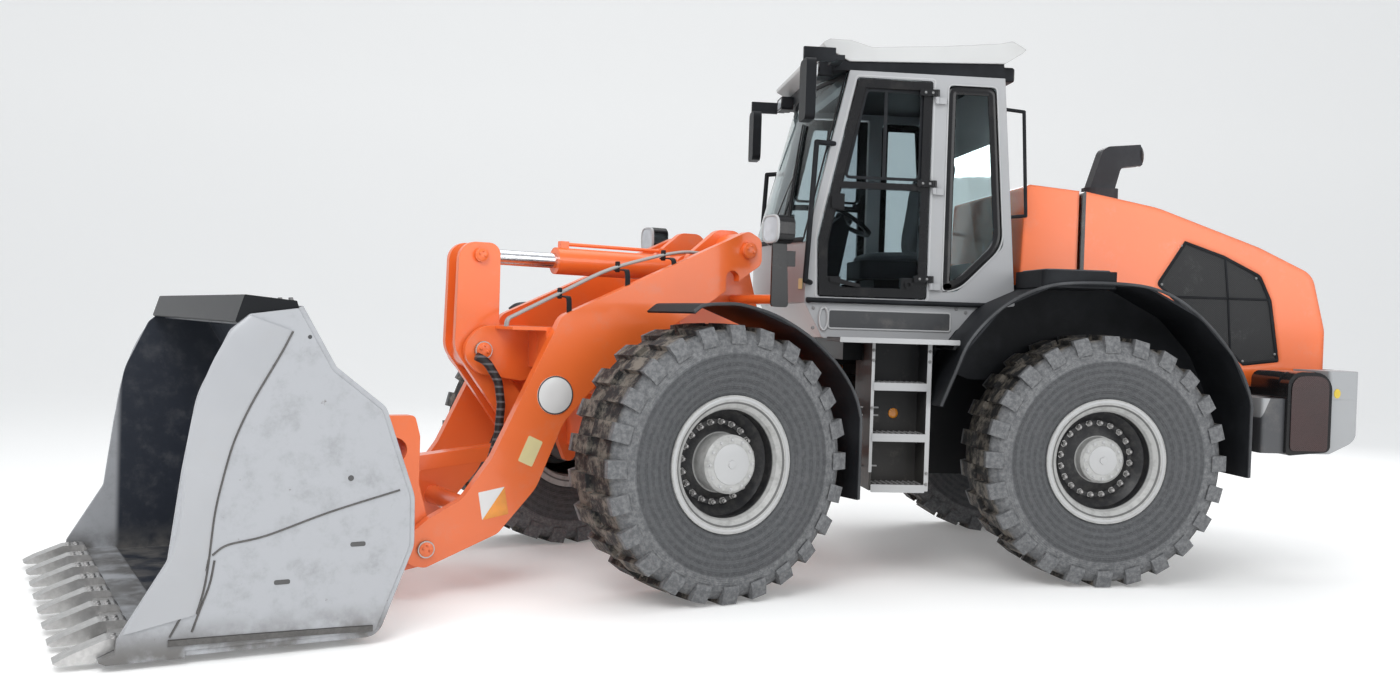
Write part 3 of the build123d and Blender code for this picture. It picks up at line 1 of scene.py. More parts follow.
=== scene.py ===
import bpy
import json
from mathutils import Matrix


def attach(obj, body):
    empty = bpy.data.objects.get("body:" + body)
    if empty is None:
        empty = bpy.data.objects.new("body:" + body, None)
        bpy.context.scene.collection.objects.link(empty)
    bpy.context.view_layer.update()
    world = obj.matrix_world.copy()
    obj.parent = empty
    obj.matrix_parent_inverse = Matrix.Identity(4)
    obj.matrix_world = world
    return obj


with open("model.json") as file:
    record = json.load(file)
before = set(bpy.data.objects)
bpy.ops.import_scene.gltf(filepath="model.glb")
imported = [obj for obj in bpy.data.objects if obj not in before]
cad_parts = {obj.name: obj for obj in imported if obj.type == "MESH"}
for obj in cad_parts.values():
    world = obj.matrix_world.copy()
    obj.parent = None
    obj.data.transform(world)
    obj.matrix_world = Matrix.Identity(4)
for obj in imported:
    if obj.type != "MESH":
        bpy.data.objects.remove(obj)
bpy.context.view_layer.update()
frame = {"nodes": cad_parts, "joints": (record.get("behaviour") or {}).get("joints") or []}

import json
import math

import bmesh
import bpy
import numpy as np
from mathutils import Matrix, Vector

# ------------------------------------------------------------------ ground, backdrop and light
# The loader stands on a pale floor that curves up into a plain backdrop.
# Large soft lamps hang above and beside it, the way a product hall is lit.
joints = {joint["name"]: joint for joint in frame["joints"]}
hinge = Vector((joints["steer"]["pos_m"][0], joints["steer"]["pos_m"][1], 0.0))
front_across = joints["wheel_front_left_spin"]["axis"]
steer_turn = math.atan2(-front_across[0], front_across[1])


def mesh_object(name, vertices, faces):
    """A smooth mesh at the origin, from an array of points and a list or array of faces."""
    mesh = bpy.data.meshes.new(name)
    mesh.from_pydata(np.asarray(vertices, float).tolist(), [], [list(map(int, f)) for f in faces])
    mesh.polygons.foreach_set("use_smooth", [True] * len(mesh.polygons))
    mesh.update()
    piece = bpy.data.objects.new(name, mesh)
    bpy.context.scene.collection.objects.link(piece)
    return piece


def sheet_faces(rows, columns, wrap_rows=False, wrap_columns=False):
    """Quads of a grid of rows x columns points, joined end to end where a direction wraps."""
    i = np.arange(rows if wrap_rows else rows - 1)
    j = np.arange(columns if wrap_columns else columns - 1)
    a, b = (grid.ravel() for grid in np.meshgrid(i, j, indexing="ij"))
    c, d = (a + 1) % rows, (b + 1) % columns
    return np.stack([a * columns + b, c * columns + b, c * columns + d, a * columns + d], 1)


class Field:
    """A value, colour or vector that varies over a piece: sums and steps of it add nodes to its material."""

    def __init__(self, skin, socket):
        self.skin, self.socket = skin, socket

    def math(self, operation, other=0.0, clamp=False):
        return self.skin.node("Math", {0: self, 1: other}, operation=operation, use_clamp=clamp)

    def __add__(self, other):
        return self.math("ADD", other)

    def __sub__(self, other):
        return self.math("SUBTRACT", other)

    def __mul__(self, other):
        return self.math("MULTIPLY", other)

    def __abs__(self):
        return self.math("ABSOLUTE")

    def wave(self, rate):
        """Sine of the value times a rate."""
        return (self * rate).math("SINE")

    def step(self, low, high, first=0.0, last=1.0):
        """Smooth step from first at low to last at high."""
        if low > high:
            low, high, first, last = high, low, last, first
        return self.skin.node("MapRange", {"Value": self, "From Min": low, "From Max": high, "To Min": first,
                                           "To Max": last}, "Result", interpolation_type="SMOOTHSTEP")


class Skin:
    """A node material with its Principled shader.  Shader inputs are named with _ for a space."""

    def __init__(self, name, **constants):
        self.material = bpy.data.materials.new(name)
        self.material.use_nodes = True
        self.tree = self.material.node_tree
        self.shader = self.tree.nodes["Principled BSDF"]
        self.wire(**constants)

    def feed(self, socket, value):
        """Links a field to a socket, or sets a plain value on it."""
        if isinstance(value, Field):
            self.tree.links.new(value.socket, socket)
        else:
            socket.default_value = (*value, 1.0) if socket.type == "RGBA" else value

    def wire(self, **values):
        for name, value in values.items():
            self.feed(self.shader.inputs[name.replace("_", " ")], value)

    def node(self, kind, inputs, output=0, **settings):
        """Adds a node, sets it, feeds its inputs and hands on one of its outputs."""
        node = self.tree.nodes.new("ShaderNode" + kind)
        for name, value in settings.items():
            setattr(node, name, value)
        for key, value in inputs.items():
            self.feed(node.inputs[key], value)
        return Field(self, node.outputs[output])

    def place(self, kind="Object"):
        return self.node("TexCoord", {}, kind)

    def parts(self, vector):
        """X, Y and Z of a vector."""
        split = self.node("SeparateXYZ", {0: vector}).socket.node
        return [Field(self, socket) for socket in split.outputs]

    def axis(self, name):
        """One axis of the Object coordinates, in metres."""
        return self.parts(self.place())["XYZ".index(name)]

    def noise(self, scale, detail=4.0, roughness=0.55):
        """Noise on Object coordinates, scale in cycles per metre."""
        return self.node("TexNoise", {"Vector": self.place(), "Scale": scale, "Detail": detail,
                                      "Roughness": roughness}, "Fac")

    def mix(self, share, first, second):
        """Colour mix; first and second are fields or plain colours."""
        return self.node("Mix", {0: share, 6: first, 7: second}, 2, data_type="RGBA")

    def bump(self, height, strength, distance, edge=0.0):
        """Bump from a height; where an edge radius is given, edges are shaded as broken by that radius."""
        inputs = {"Height": height, "Strength": strength, "Distance": distance}
        if edge:
            inputs["Normal"] = self.node("Bevel", {"Radius": edge}, "Normal", samples=4)
        self.wire(Normal=self.node("Bump", inputs, "Normal"))


def sweep_floor():
    """A strip 80 m wide: flat floor, then a quarter circle of 6 m radius, then a wall."""
    t = np.linspace(0, np.pi / 2, 24)
    run = np.concatenate([[30.0], [-14.0], -14.0 - 6 * np.sin(t), [-20.0]])
    rise = np.concatenate([[0.0], [0.0], 6 - 6 * np.cos(t), [26.0]])
    wide = np.array([-40.0, 40.0])
    points = np.stack([np.repeat(wide[:, None], len(run), 1), np.tile(run, (2, 1)), np.tile(rise, (2, 1))], -1)
    floor = mesh_object("ground", points.reshape(-1, 3), sheet_faces(2, len(run))[:, ::-1])
    floor.data.materials.append(Skin("pale_floor", Base_Color=(0.9, 0.9, 0.89), Roughness=0.9,
                                     Emission_Color=(1.0, 1.0, 1.0), Emission_Strength=0.16).material)
    return floor


sweep_floor()

world = bpy.data.worlds.new("soft_sky")
world.use_nodes = True
world.node_tree.nodes["Background"].inputs["Color"].default_value = (0.93, 0.96, 1.0, 1)
world.node_tree.nodes["Background"].inputs["Strength"].default_value = 0.62
bpy.context.scene.world = world
bpy.context.scene.view_settings.view_transform = "Standard"

for lamp_name, place, aim, power, width in (
    ("key_light", (3.0, 7.5, 7.5), (0.3, 0, 1.2), 480, 5.0),
    ("fill_light", (-7.0, 6.5, 4.0), (-1, 0, 1.0), 200, 5.0),
    ("top_light", (0.0, -1.0, 9.0), (0, 0, 0.5), 240, 7.0),
    ("bucket_light", (8.0, 3.0, 3.5), (3, 1, 0.8), 60, 3.0),
    ("back_light", (-6.0, -9.0, 6.0), (-1, -1, 1.0), 300, 5.0),
):
    lamp = bpy.data.lights.new(lamp_name, "AREA")
    lamp.energy, lamp.size = power, width
    lamp_object = bpy.data.objects.new(lamp_name, lamp)
    direction = Vector(aim) - Vector(place)
    lamp_object.matrix_world = Matrix.Translation(place) @ direction.to_track_quat("-Z", "Y").to_matrix().to_4x4()
    bpy.context.scene.collection.objects.link(lamp_object)

camera_data = bpy.data.cameras.new("camera")
camera_data.sensor_width = 36.0
camera_data.lens = 32.46
camera = bpy.data.objects.new("camera", camera_data)
right = Vector((-0.992529, 0.118143, 0.030459))
up = Vector((0.027808, -0.024019, 0.999325))
back = Vector((0.118795, 0.992706, 0.020554))
eye = hinge + Vector((1.82737, 8.28990, 1.49074))
camera.matrix_world = Matrix(((right.x, up.x, back.x, eye.x), (right.y, up.y, back.y, eye.y),
                              (right.z, up.z, back.z, eye.z), (0, 0, 0, 1)))
bpy.context.scene.collection.objects.link(camera)
bpy.context.scene.camera = camera


# ------------------------------------------------------------------ rear half-frame
# Welded steel rails, hinge lugs and cross beams carry axle, engine, cab and counterweight.
# Shot-blasted and sprayed near-black; road dust lies on the lower faces.
def sprayed_paint(name, colour, roughness=0.34, coat=0.35, dust=0.5, edge=0.005, repaint=None):
    """Sprayed coat: a faint drift of colour, orange-peel bump, dust in patches and low down.
    repaint may change the coat's colour: it takes the skin and the colour and returns a colour."""
    skin = Skin(name, Coat_Weight=coat, Coat_Roughness=0.12, Specular_IOR_Level=0.18 if max(colour) < 0.03 else 0.5)
    coat_colour = skin.mix(skin.noise(1.3, 3).step(0.3, 0.7), tuple(c * 0.9 for c in colour), colour)
    if repaint:
        coat_colour = repaint(skin, coat_colour)
    patches = skin.noise(5.0, 8, 0.7).step(0.52, 0.80)
    share = (patches * 0.5 + skin.axis("Z").step(1.5, 0.3) * 0.22).math("MULTIPLY", dust, clamp=True)
    skin.wire(Base_Color=skin.mix(share, coat_colour, (0.42, 0.38, 0.33)),
              Roughness=share.step(0.0, 0.6, roughness, roughness + 0.3))
    skin.bump(skin.noise(260.0, 2), 0.06, 0.0006, edge)
    return skin.material


def finish_nodes(material, *names):
    """Puts a material on every slot of CAD nodes."""
    for name in names:
        for slot in frame["nodes"][name].material_slots:
            slot.material = material


black = sprayed_paint("black_paint", (0.011, 0.012, 0.014), 0.42, 0.04, 0.08)
finish_nodes(black, "rear_frame")


# ------------------------------------------------------------------ axles and engine
# Cast axle housings with bolted differential covers, and the engine, in rough grey casting paint.
# The covers' bolts sit in a ring on each differential.
axle_height = 745
axle_ahead = {"front": 1470, "rear": -1450}


def unit(v):
    """Vectors scaled to length one."""
    v = np.asarray(v, float)
    return v / np.linalg.norm(v, axis=-1, keepdims=True)


def stacked(rows):
    """Closed skin over a stack of loops with the same number of points; the end loops are closed flat."""
    count, around = rows.shape[:2]
    faces = sheet_faces(count, around, wrap_columns=True).tolist()
    faces.append(list(range(around))[::-1])
    faces.append(list(range((count - 1) * around, count * around)))
    return rows.reshape(-1, 3), faces


def circle(count, centre, u, v, phase=0.0):
    """Points centre + cos a * u + sin a * v, evenly spread in a."""
    a = (np.linspace(0, 2 * np.pi, count, endpoint=False) + phase)[:, None]
    return np.asarray(centre, float) + np.cos(a) * np.asarray(u, float) + np.sin(a) * np.asarray(v, float)


def turned(profile, centre, axis, sides=24):
    """Profile of (height, radius) pairs turned about an axis through centre:
    centre + height * axis + radius * a circle square to the axis."""
    profile, n = np.asarray(profile, float), unit(axis)
    u = unit(np.cross(n, (0.31, 0.17, 0.93)))
    ring = circle(sides, (0, 0, 0), u, np.cross(n, u))
    return stacked(np.asarray(centre, float) + profile[:, 0, None, None] * n + profile[:, 1, None, None] * ring)


def gather(*parts):
    """Several (points, faces) shapes as one."""
    counts = np.cumsum([0] + [len(p) for p, _ in parts])
    faces = [[int(i + start) for i in face] for (_, shape), start in zip(parts, counts) for face in shape]
    return np.concatenate([p for p, _ in parts]), faces


def studded(profile, facing, sides, places):
    """The same turned profile set down at every place."""
    points, faces = turned(profile, (0, 0, 0), facing, sides)
    places = np.asarray(places, float)
    spread = (places[:, None] + points[None]).reshape(-1, 3)
    return spread, [[i + k * len(points) for i in face] for k in range(len(places)) for face in faces]


def bolts(reach, radius, facing, places):
    """Hexagon heads with a chamfered top on a thin washer."""
    head = [(0, radius * 1.35), (reach * 0.18, radius * 1.35), (reach * 0.2, radius), (reach * 0.85, radius),
            (reach, radius * 0.8)]
    return studded(head, facing, 6, places)


def fit_piece(name, shape, material, body="rear", crease=38):
    """A finished piece riding on its body: welded, faces outwards, edges over the crease angle sharp.
    The shape is in millimetres ahead of the hinge, to the left and up, on the body's own half-frame."""
    on_rear = body in ("rear", "hood") or body.startswith(("door", "wheel_rear"))
    turn = 0.0 if on_rear else steer_turn
    x, y, z = np.moveaxis(np.asarray(shape[0], float) / 1000, -1, 0)
    piece = mesh_object(name, np.stack([hinge.x + x * np.cos(turn) - y * np.sin(turn),
                                        hinge.y + x * np.sin(turn) + y * np.cos(turn), z], -1), shape[1])
    work = bmesh.new()
    work.from_mesh(piece.data)
    bmesh.ops.remove_doubles(work, verts=work.verts, dist=1e-6)
    bmesh.ops.recalc_face_normals(work, faces=work.faces)
    work.to_mesh(piece.data)
    work.free()
    piece.data.set_sharp_from_angle(angle=math.radians(crease))
    piece.data.materials.append(material)
    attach(piece, body)
    return piece


casting = sprayed_paint("casting_grey", (0.055, 0.056, 0.06), 0.6, 0.0, 0.6)
finish_nodes(casting, "front_axle", "rear_axle", "engine_block")
bolt_steel = sprayed_paint("bolt_steel", (0.22, 0.22, 0.22), 0.4, 0.0, 0.4, edge=0.0)
for body, facing in (("front", 1), ("rear", -1)):
    places = circle(14, (axle_ahead[body] + facing * 118, 0, axle_height), (0, 150, 0), (0, 0, 150))
    fit_piece(f"{body}_axle_bolts", bolts(24, 13, (facing, 0, 0), places), bolt_steel, body)
    cover = turned([(70, 178), (112, 178), (122, 166), (130, 120), (134, 40)], (axle_ahead[body], 0, axle_height),
                   (facing, 0, 0), 40)
    fit_piece(f"{body}_axle_cover", cover, casting, body)


# ------------------------------------------------------------------ counterweight and tail lamps
# A heavy casting in light grey with its front flank in dark grey, lamp boxes let into both sides.
# A round yellow reflector is stuck on each flank; each lamp box has one dark red lens.
sides = ((1, "left"), (-1, "right"))


def rounded_loop(corners, radius, steps=6):
    """Closed outline whose corners are parabolas from one radius before the corner to one after it."""
    c = np.asarray(corners, float)
    reach = np.broadcast_to(np.asarray(radius, float), len(c))[:, None]
    start = c + reach * unit(np.roll(c, 1, 0) - c)
    end = c + reach * unit(np.roll(c, -1, 0) - c)
    t = np.linspace(0, 1, steps)[:, None, None]
    arc = (1 - t) ** 2 * start + 2 * t * (1 - t) * c + t ** 2 * end
    return arc.transpose(1, 0, 2).reshape(-1, c.shape[1])


def placed(loop, origin, across=(1, 0, 0), upward=(0, 0, 1)):
    """A flat outline on the plane through origin."""
    loop = np.asarray(loop, float)
    return np.asarray(origin, float) + loop[:, :1] * unit(across) + loop[:, 1:] * unit(upward)


def plate(loop, origin, across, upward, thick, bevel=1.0):
    """Flat plate: the outline stands on its plane, keeps its size up to the bevel, then shrinks by it; a bevel
    below nought widens it instead."""
    n = np.cross(unit(across), unit(upward))
    middle = loop.mean(0)
    small = middle + (loop - middle) * (1 - bevel / np.linalg.norm(loop - middle, axis=1, keepdims=True))
    return stacked(np.stack([placed(flat, origin, across, upward) + rise * n
                             for flat, rise in ((loop, 0.0), (loop, thick - bevel), (small, thick))]))


def side_plate(loop, side, place, thick, bevel, across=(1, 0, 0), upward=(0, 0, 1)):
    """A plate on the left or right side, its place given for the left."""
    return plate(loop * (-side, 1), (place[0], side * place[1], place[2]), across, upward, -side * thick,
                 -side * bevel)


def box_loop(wide, high, radius):
    """Rounded rectangle about its middle."""
    return rounded_loop([(-wide / 2, -high / 2), (wide / 2, -high / 2), (wide / 2, high / 2), (-wide / 2, high / 2)],
                        radius)


def dark_flank(skin, colour):
    """Dark grey on the outer faces ahead of the lamp box and below a slanting line."""
    x, y, z = skin.parts(skin.place())
    slant = x - (hinge.x - 2.489) + (z - 1.161) * 0.425
    ahead = (x - (hinge.x - 2.60)).step(0.0, 0.002)
    share = slant.step(0.002, -0.002) * ahead * abs(y - hinge.y).step(1.0, 1.01)
    return skin.mix(share, colour, (0.045, 0.048, 0.055))


def lens_plastic(name, colour, ribs=260.0):
    """Moulded lens: glossy, with fine ribs under the surface and a slight drift of tint."""
    skin = Skin(name, Roughness=0.12, Coat_Weight=0.6)
    drift = skin.noise(7.0, 3).step(0.35, 0.7)
    skin.wire(Base_Color=skin.mix(drift, tuple(c * 0.75 for c in colour), colour))
    x, y, z = skin.parts(skin.place())
    skin.bump((x + y).wave(ribs * 2) * z.wave(ribs * 2), 0.25, 0.001)
    return skin.material


finish_nodes(sprayed_paint("weight_grey", (0.36, 0.37, 0.38), 0.45, 0.15, 0.35, edge=0.008, repaint=dark_flank),
             "counterweight")
gloss_black = sprayed_paint("gloss_black", (0.010, 0.010, 0.011), 0.2, 0.4, 0.08)
finish_nodes(gloss_black, "tail_lamps")
tail_red = lens_plastic("tail_lens_red", (0.030, 0.007, 0.006))
tail_yellow = lens_plastic("reflector_yellow", (0.85, 0.62, 0.05))
tail_loop = rounded_loop([(-118, -225), (118, -225), (118, 222), (-118, 222)], (30, 24, 78, 88), 9)
for side, name in sides:
    fit_piece(f"tail_lens_{name}", side_plate(tail_loop, side, (-2717, 1204, 1056), 7, 2.5), tail_red)
    dot = turned([(-3, 29), (5, 29), (8, 26), (9, 12)], (-2920, side * 1155.5, 1177), (-0.327, side * 0.945, 0), 28)
    fit_piece(f"weight_reflector_{name}", dot, tail_yellow)


# ------------------------------------------------------------------ cab shell
# Pressed and welded steel frame in satin grey with a bowed cowl; a recessed dark panel, a tubular sill
# and a small hoop sit under the door, and a pale sealing bead runs round each door opening.
cab_side = 798


def smooth_line(corners, steps=8):
    """Catmull-Rom curve: each run is a cubic through its two corners, its slopes set by the corners beside them."""
    c = np.asarray(corners, float)
    c = np.concatenate([[2 * c[0] - c[1]], c, [2 * c[-1] - c[-2]]])
    t = np.linspace(0, 1, steps, endpoint=False)[:, None, None]
    a, b, d, e = c[:-3], c[1:-2], c[2:-1], c[3:]
    run = 0.5 * (2 * b + (d - a) * t + (2 * a - 5 * b + 4 * d - e) * t ** 2 + (3 * b - a - 3 * d + e) * t ** 3)
    return np.concatenate([run.transpose(1, 0, 2).reshape(-1, c.shape[1]), c[-2:-1]])


def carried(line, profile, facing, closed=False):
    """Profile of (across, outwards) pairs carried along a line; outwards is square to the line and nearest to
    the facing direction, across is square to both."""
    line = np.asarray(line, float)
    slope = unit(np.roll(line, -1, 0) - np.roll(line, 1, 0) if closed else np.gradient(line, axis=0))
    across = unit(np.cross(slope, np.broadcast_to(np.asarray(facing, float), line.shape)))
    outwards = np.cross(across, slope)
    p = np.asarray(profile, float)
    rows = line[:, None] + p[None, :, :1] * across[:, None] + p[None, :, 1:] * outwards[:, None]
    if not closed:
        return stacked(rows)
    return rows.reshape(-1, 3), sheet_faces(*rows.shape[:2], True, True).tolist()


def side_rim(line, y, side, profile, closed=True):
    """Profile carried along (X, Z) pairs on the vertical plane at width y, facing out."""
    return carried(placed(line, (0, side * y, 0)), profile, (0, side, 0), closed)


def round_profile(radius, sides=10):
    """Circle for a carried rod or tube."""
    a = np.linspace(0, 2 * np.pi, sides, endpoint=False)
    return np.stack([radius * np.cos(a), radius * np.sin(a)], 1)


def bead_profile(wide, high):
    """Low rounded bar: flat foot, sloping shoulders."""
    return [(-wide / 2, 0), (wide / 2, 0), (wide / 2, high * 0.6), (wide * 0.3, high), (-wide * 0.3, high),
            (-wide / 2, high * 0.6)]


def textured_plastic(name, colour, roughness, grain=420.0):
    """Moulded plastic or rubber: fine grain, faded in patches."""
    skin = Skin(name, Roughness=roughness, Specular_IOR_Level=0.14)
    drift = skin.noise(3.0, 5, 0.6).step(0.4, 0.75)
    skin.wire(Base_Color=skin.mix(drift, colour, tuple(min(1, c * 1.7 + 0.004) for c in colour)))
    skin.bump(skin.noise(grain, 3), 0.22, 0.0008)
    return skin.material


finish_nodes(sprayed_paint("cab_grey_paint", (0.37, 0.375, 0.385), 0.38, 0.25, 0.3), "cab_frame")
pale_grey = sprayed_paint("pale_grey_paint", (0.46, 0.465, 0.47), 0.4, 0.2, 0.35, edge=0.0)
dark_grey = sprayed_paint("dark_grey_paint", (0.05, 0.052, 0.056), 0.42, 0.2, 0.35, edge=0.0)
black_plastic = textured_plastic("black_moulding", (0.011, 0.012, 0.014), 0.5)
seal_rubber = textured_plastic("seal_rubber", (0.012, 0.012, 0.013), 0.62, 900.0)
door_line = rounded_loop([(240, 1658), (252, 2022), (30, 3011), (-461, 3011), (-461, 1658)], (30, 60, 20, 20, 30))
window_radii = (35, 35, 90, 90, 35)
window_line = rounded_loop([(-545, 2985), (-850, 2985), (-925, 2010), (-640, 1725), (-545, 1725)], window_radii, 8)
seal_line = rounded_loop([(-573, 2957), (-825, 2957), (-895, 2020), (-628, 1755), (-573, 1755)], window_radii, 8)
for side, name in sides:
    fit_piece(f"door_bead_{name}", side_rim(door_line, cab_side, side, bead_profile(9, 4)), pale_grey)
    fit_piece(f"window_bead_{name}", side_rim(window_line, cab_side, side, bead_profile(9, 7)), pale_grey)
    fit_piece(f"window_seal_{name}", side_rim(seal_line, 779, side, bead_profile(54, 14)), gloss_black)
    fit_piece(f"side_panel_{name}", side_plate(box_loop(752, 104, 14), side, (-224, cab_side, 1537), 7, 3),
              dark_grey)
    fit_piece(f"side_panel_rim_{name}", side_rim(box_loop(760, 112, 18) + (-224, 1537), cab_side, side,
                                                 bead_profile(12, 9)), pale_grey)
    sill = smooth_line([(286, side * 786, 1640), (262, side * 817, 1648), (200, side * 818, 1648),
                        (-860, side * 818, 1648), (-884, side * 800, 1650), (-890, side * 780, 1652)])
    fit_piece(f"sill_tube_{name}", carried(sill, round_profile(15, 12), (0, 0, 1)), black_plastic)
    hoop = circle(32, (186, side * 806, 1537), (27, 0, 0), (0, 0, 68))
    fit_piece(f"tie_hoop_{name}", carried(hoop, round_profile(7), (0, side, 0), True), pale_grey)
    places = [(x, side * 799, z) for x, z in ((250, 1600), (250, 1480), (-640, 1620), (-700, 1600), (-780, 1655))]
    fit_piece(f"cab_bolts_{name}", bolts(9, 9, (0, side, 0), places), bolt_steel)


# ------------------------------------------------------------------ roof, roof rail and work lamps
# White moulded roof skin over a black rail, with square work lamps at its four corners.
# Each lamp has a clear ribbed lens in a black bezel.
finish_nodes(sprayed_paint("roof_white", (0.56, 0.565, 0.56), 0.35, 0.2, 0.2, edge=0.012), "cab_roof")
finish_nodes(black_plastic, "roof_rail")
clear_lens = lens_plastic("clear_lens", (0.62, 0.66, 0.70), 190.0)
for end, lamp_x, lamp_rise, facing in (("front", 238, 3062, 1), ("rear", -985, 3085, -1)):
    for side, name in sides:
        centre = (lamp_x, side * 620, lamp_rise)
        fit_piece(f"work_lens_{end}_{name}", plate(box_loop(142, 66, 12), centre, (0, facing, 0), (0, 0, 1), 6, 2),
                  clear_lens)
        line = placed(box_loop(152, 76, 15), centre, (0, 1, 0))
        fit_piece(f"work_bezel_{end}_{name}", carried(line, bead_profile(10, 9), (facing, 0, 0), True), gloss_black)


# ------------------------------------------------------------------ cab glass, seals and wiper
# Bowed laminated windscreen and flat tinted side panes bonded into black rubber seals.
# The wiper is a pressed steel arm with a rubber blade, driven from the cowl.
def pane_glass(name, tint):
    """Thin safety glass: clear with a tint, a faint film of dust in patches."""
    skin = Skin(name, Transmission_Weight=1.0, IOR=1.12)
    skin.wire(Base_Color=skin.mix(skin.noise(4.0, 6, 0.65).step(0.45, 0.85, 0.0, 0.10), tint, (0.75, 0.74, 0.72)),
              Roughness=skin.noise(6.0, 5).step(0.4, 0.8, 0.02, 0.08))
    return skin.material


finish_nodes(pane_glass("tinted_pane", (0.70, 0.78, 0.79)), "cab_glass")
# The door panes take a darker copy of the cab glass tint: painted shade.
finish_nodes(pane_glass("shaded_side_pane", (0.50, 0.57, 0.60)), "door_left_glass", "door_right_glass")


def screen(y, share):
    """Points on the windscreen's outer face: circular arc at the foot and at the head, straight in between."""
    half_wide = 780.0
    arcs = [end + np.sqrt(((half_wide ** 2 + bow ** 2) / (2 * bow)) ** 2 - y ** 2)
            - (half_wide ** 2 - bow ** 2) / (2 * bow) for end, bow in ((313.0, 158.0), (78.0, 110.0))]
    return np.stack([arcs[0] + (arcs[1] - arcs[0]) * share, y, 2000 + 1040 * share], -1)


span = np.linspace(1, -1, 25)
rise = np.linspace(0.02, 0.965, 13)
screen_edge = np.concatenate([screen(762 * span, np.full(25, 0.012)), screen(np.full(13, -766.0), rise),
                              screen(-762 * span, np.full(25, 0.968)), screen(np.full(13, 766.0), rise[::-1])])
fit_piece("screen_seal", carried(screen_edge, bead_profile(30, 7), (0.95, 0, 0.25), True), seal_rubber)
arm_line = screen(np.array([330.0, 350.0, 385.0, 420.0, 440.0]), np.array([0.02, 0.09, 0.22, 0.34, 0.42])) + (
    (8, 0, 0), (20, 0, 2), (22, 0, 2), (20, 0, 2), (14, 0, 2))
blade_line = screen(np.linspace(560, 330, 9), np.linspace(0.10, 0.74, 9)) + (7, 0, 1)
wiper_facing = (1, 0, 0.2)
fit_piece("wiper_arm", carried(smooth_line(arm_line), [(-7, -3), (7, -3), (6, 4), (-6, 4)], wiper_facing),
          gloss_black)
fit_piece("wiper_blade", gather(carried(blade_line, [(-4, -6), (4, -6), (6, 2), (-6, 2)], wiper_facing),
                                carried(blade_line + (6, 0, 1), [(-9, 0), (9, 0), (6, 8), (-6, 8)], wiper_facing)),
          seal_rubber)
fit_piece("wiper_spindle", turned([(-6, 22), (10, 22), (22, 16), (30, 9)], arm_line[0] - (6, 0, 4), (0.95, 0, 0.3),
                                  20), gloss_black)

# ------------------------------------------------------------------ doors
# Black steel door frames round bonded glass, hung on three hinges whose straps have two bright screws.
# The upper pane holds a small sliding window in its own black frame.
slider_line = rounded_loop([(-383, 2398), (76, 2398), (-38, 2928), (-383, 2928)], 30)
slider_bar = [(-160, 2400), (-160, 2660), (-160, 2926)]
pane_line = rounded_loop([(180, 1724), (180, 2012), (-32, 2946), (-404, 2946), (-404, 1724)], (14, 50, 20, 20, 14))
for side, name in sides:
    finish_nodes(gloss_black, f"door_{name}")
    screws = [(x, side * 829, z) for z in (1795, 2375, 2925) for x in (-440, -395)]
    fit_piece(f"hinge_screws_{name}", studded([(0, 8), (3, 8), (5, 6), (6, 2)], (0, side, 0), 14, screws),
              bolt_steel, f"door_{name}")
    pane = 789 if side > 0 else 788
    fit_piece(f"sliding_window_{name}", gather(side_rim(slider_line, pane, side, bead_profile(18, 6)),
                                               side_rim(slider_bar, pane, side, bead_profile(22, 8), False)),
              black_plastic, f"door_{name}")
    fit_piece(f"door_seal_{name}", side_rim(pane_line, pane, side, bead_profile(20, 9)), seal_rubber,
              f"door_{name}")


# ------------------------------------------------------------------ operator's seat, column and wheel
# Moulded pedestal, seat shell and steering column in black plastic; the seat, back and head cushions
# are foam covered with woven fabric, filled until their sides bulge.
def seat_fabric(name, colour, threads=2600.0):
    """Woven cloth: crossed threads a few millimetres apart, faded in patches."""
    skin = Skin(name, Roughness=0.9, Sheen_Weight=0.3)
    fade = skin.noise(8.0, 5, 0.6).step(0.35, 0.75)
    skin.wire(Base_Color=skin.mix(fade, colour, tuple(c * 1.6 + 0.01 for c in colour)))
    x, y, z = skin.parts(skin.place())
    skin.bump(x.wave(threads) * y.wave(threads) + z.wave(threads), 0.3, 0.001)
    return skin.material


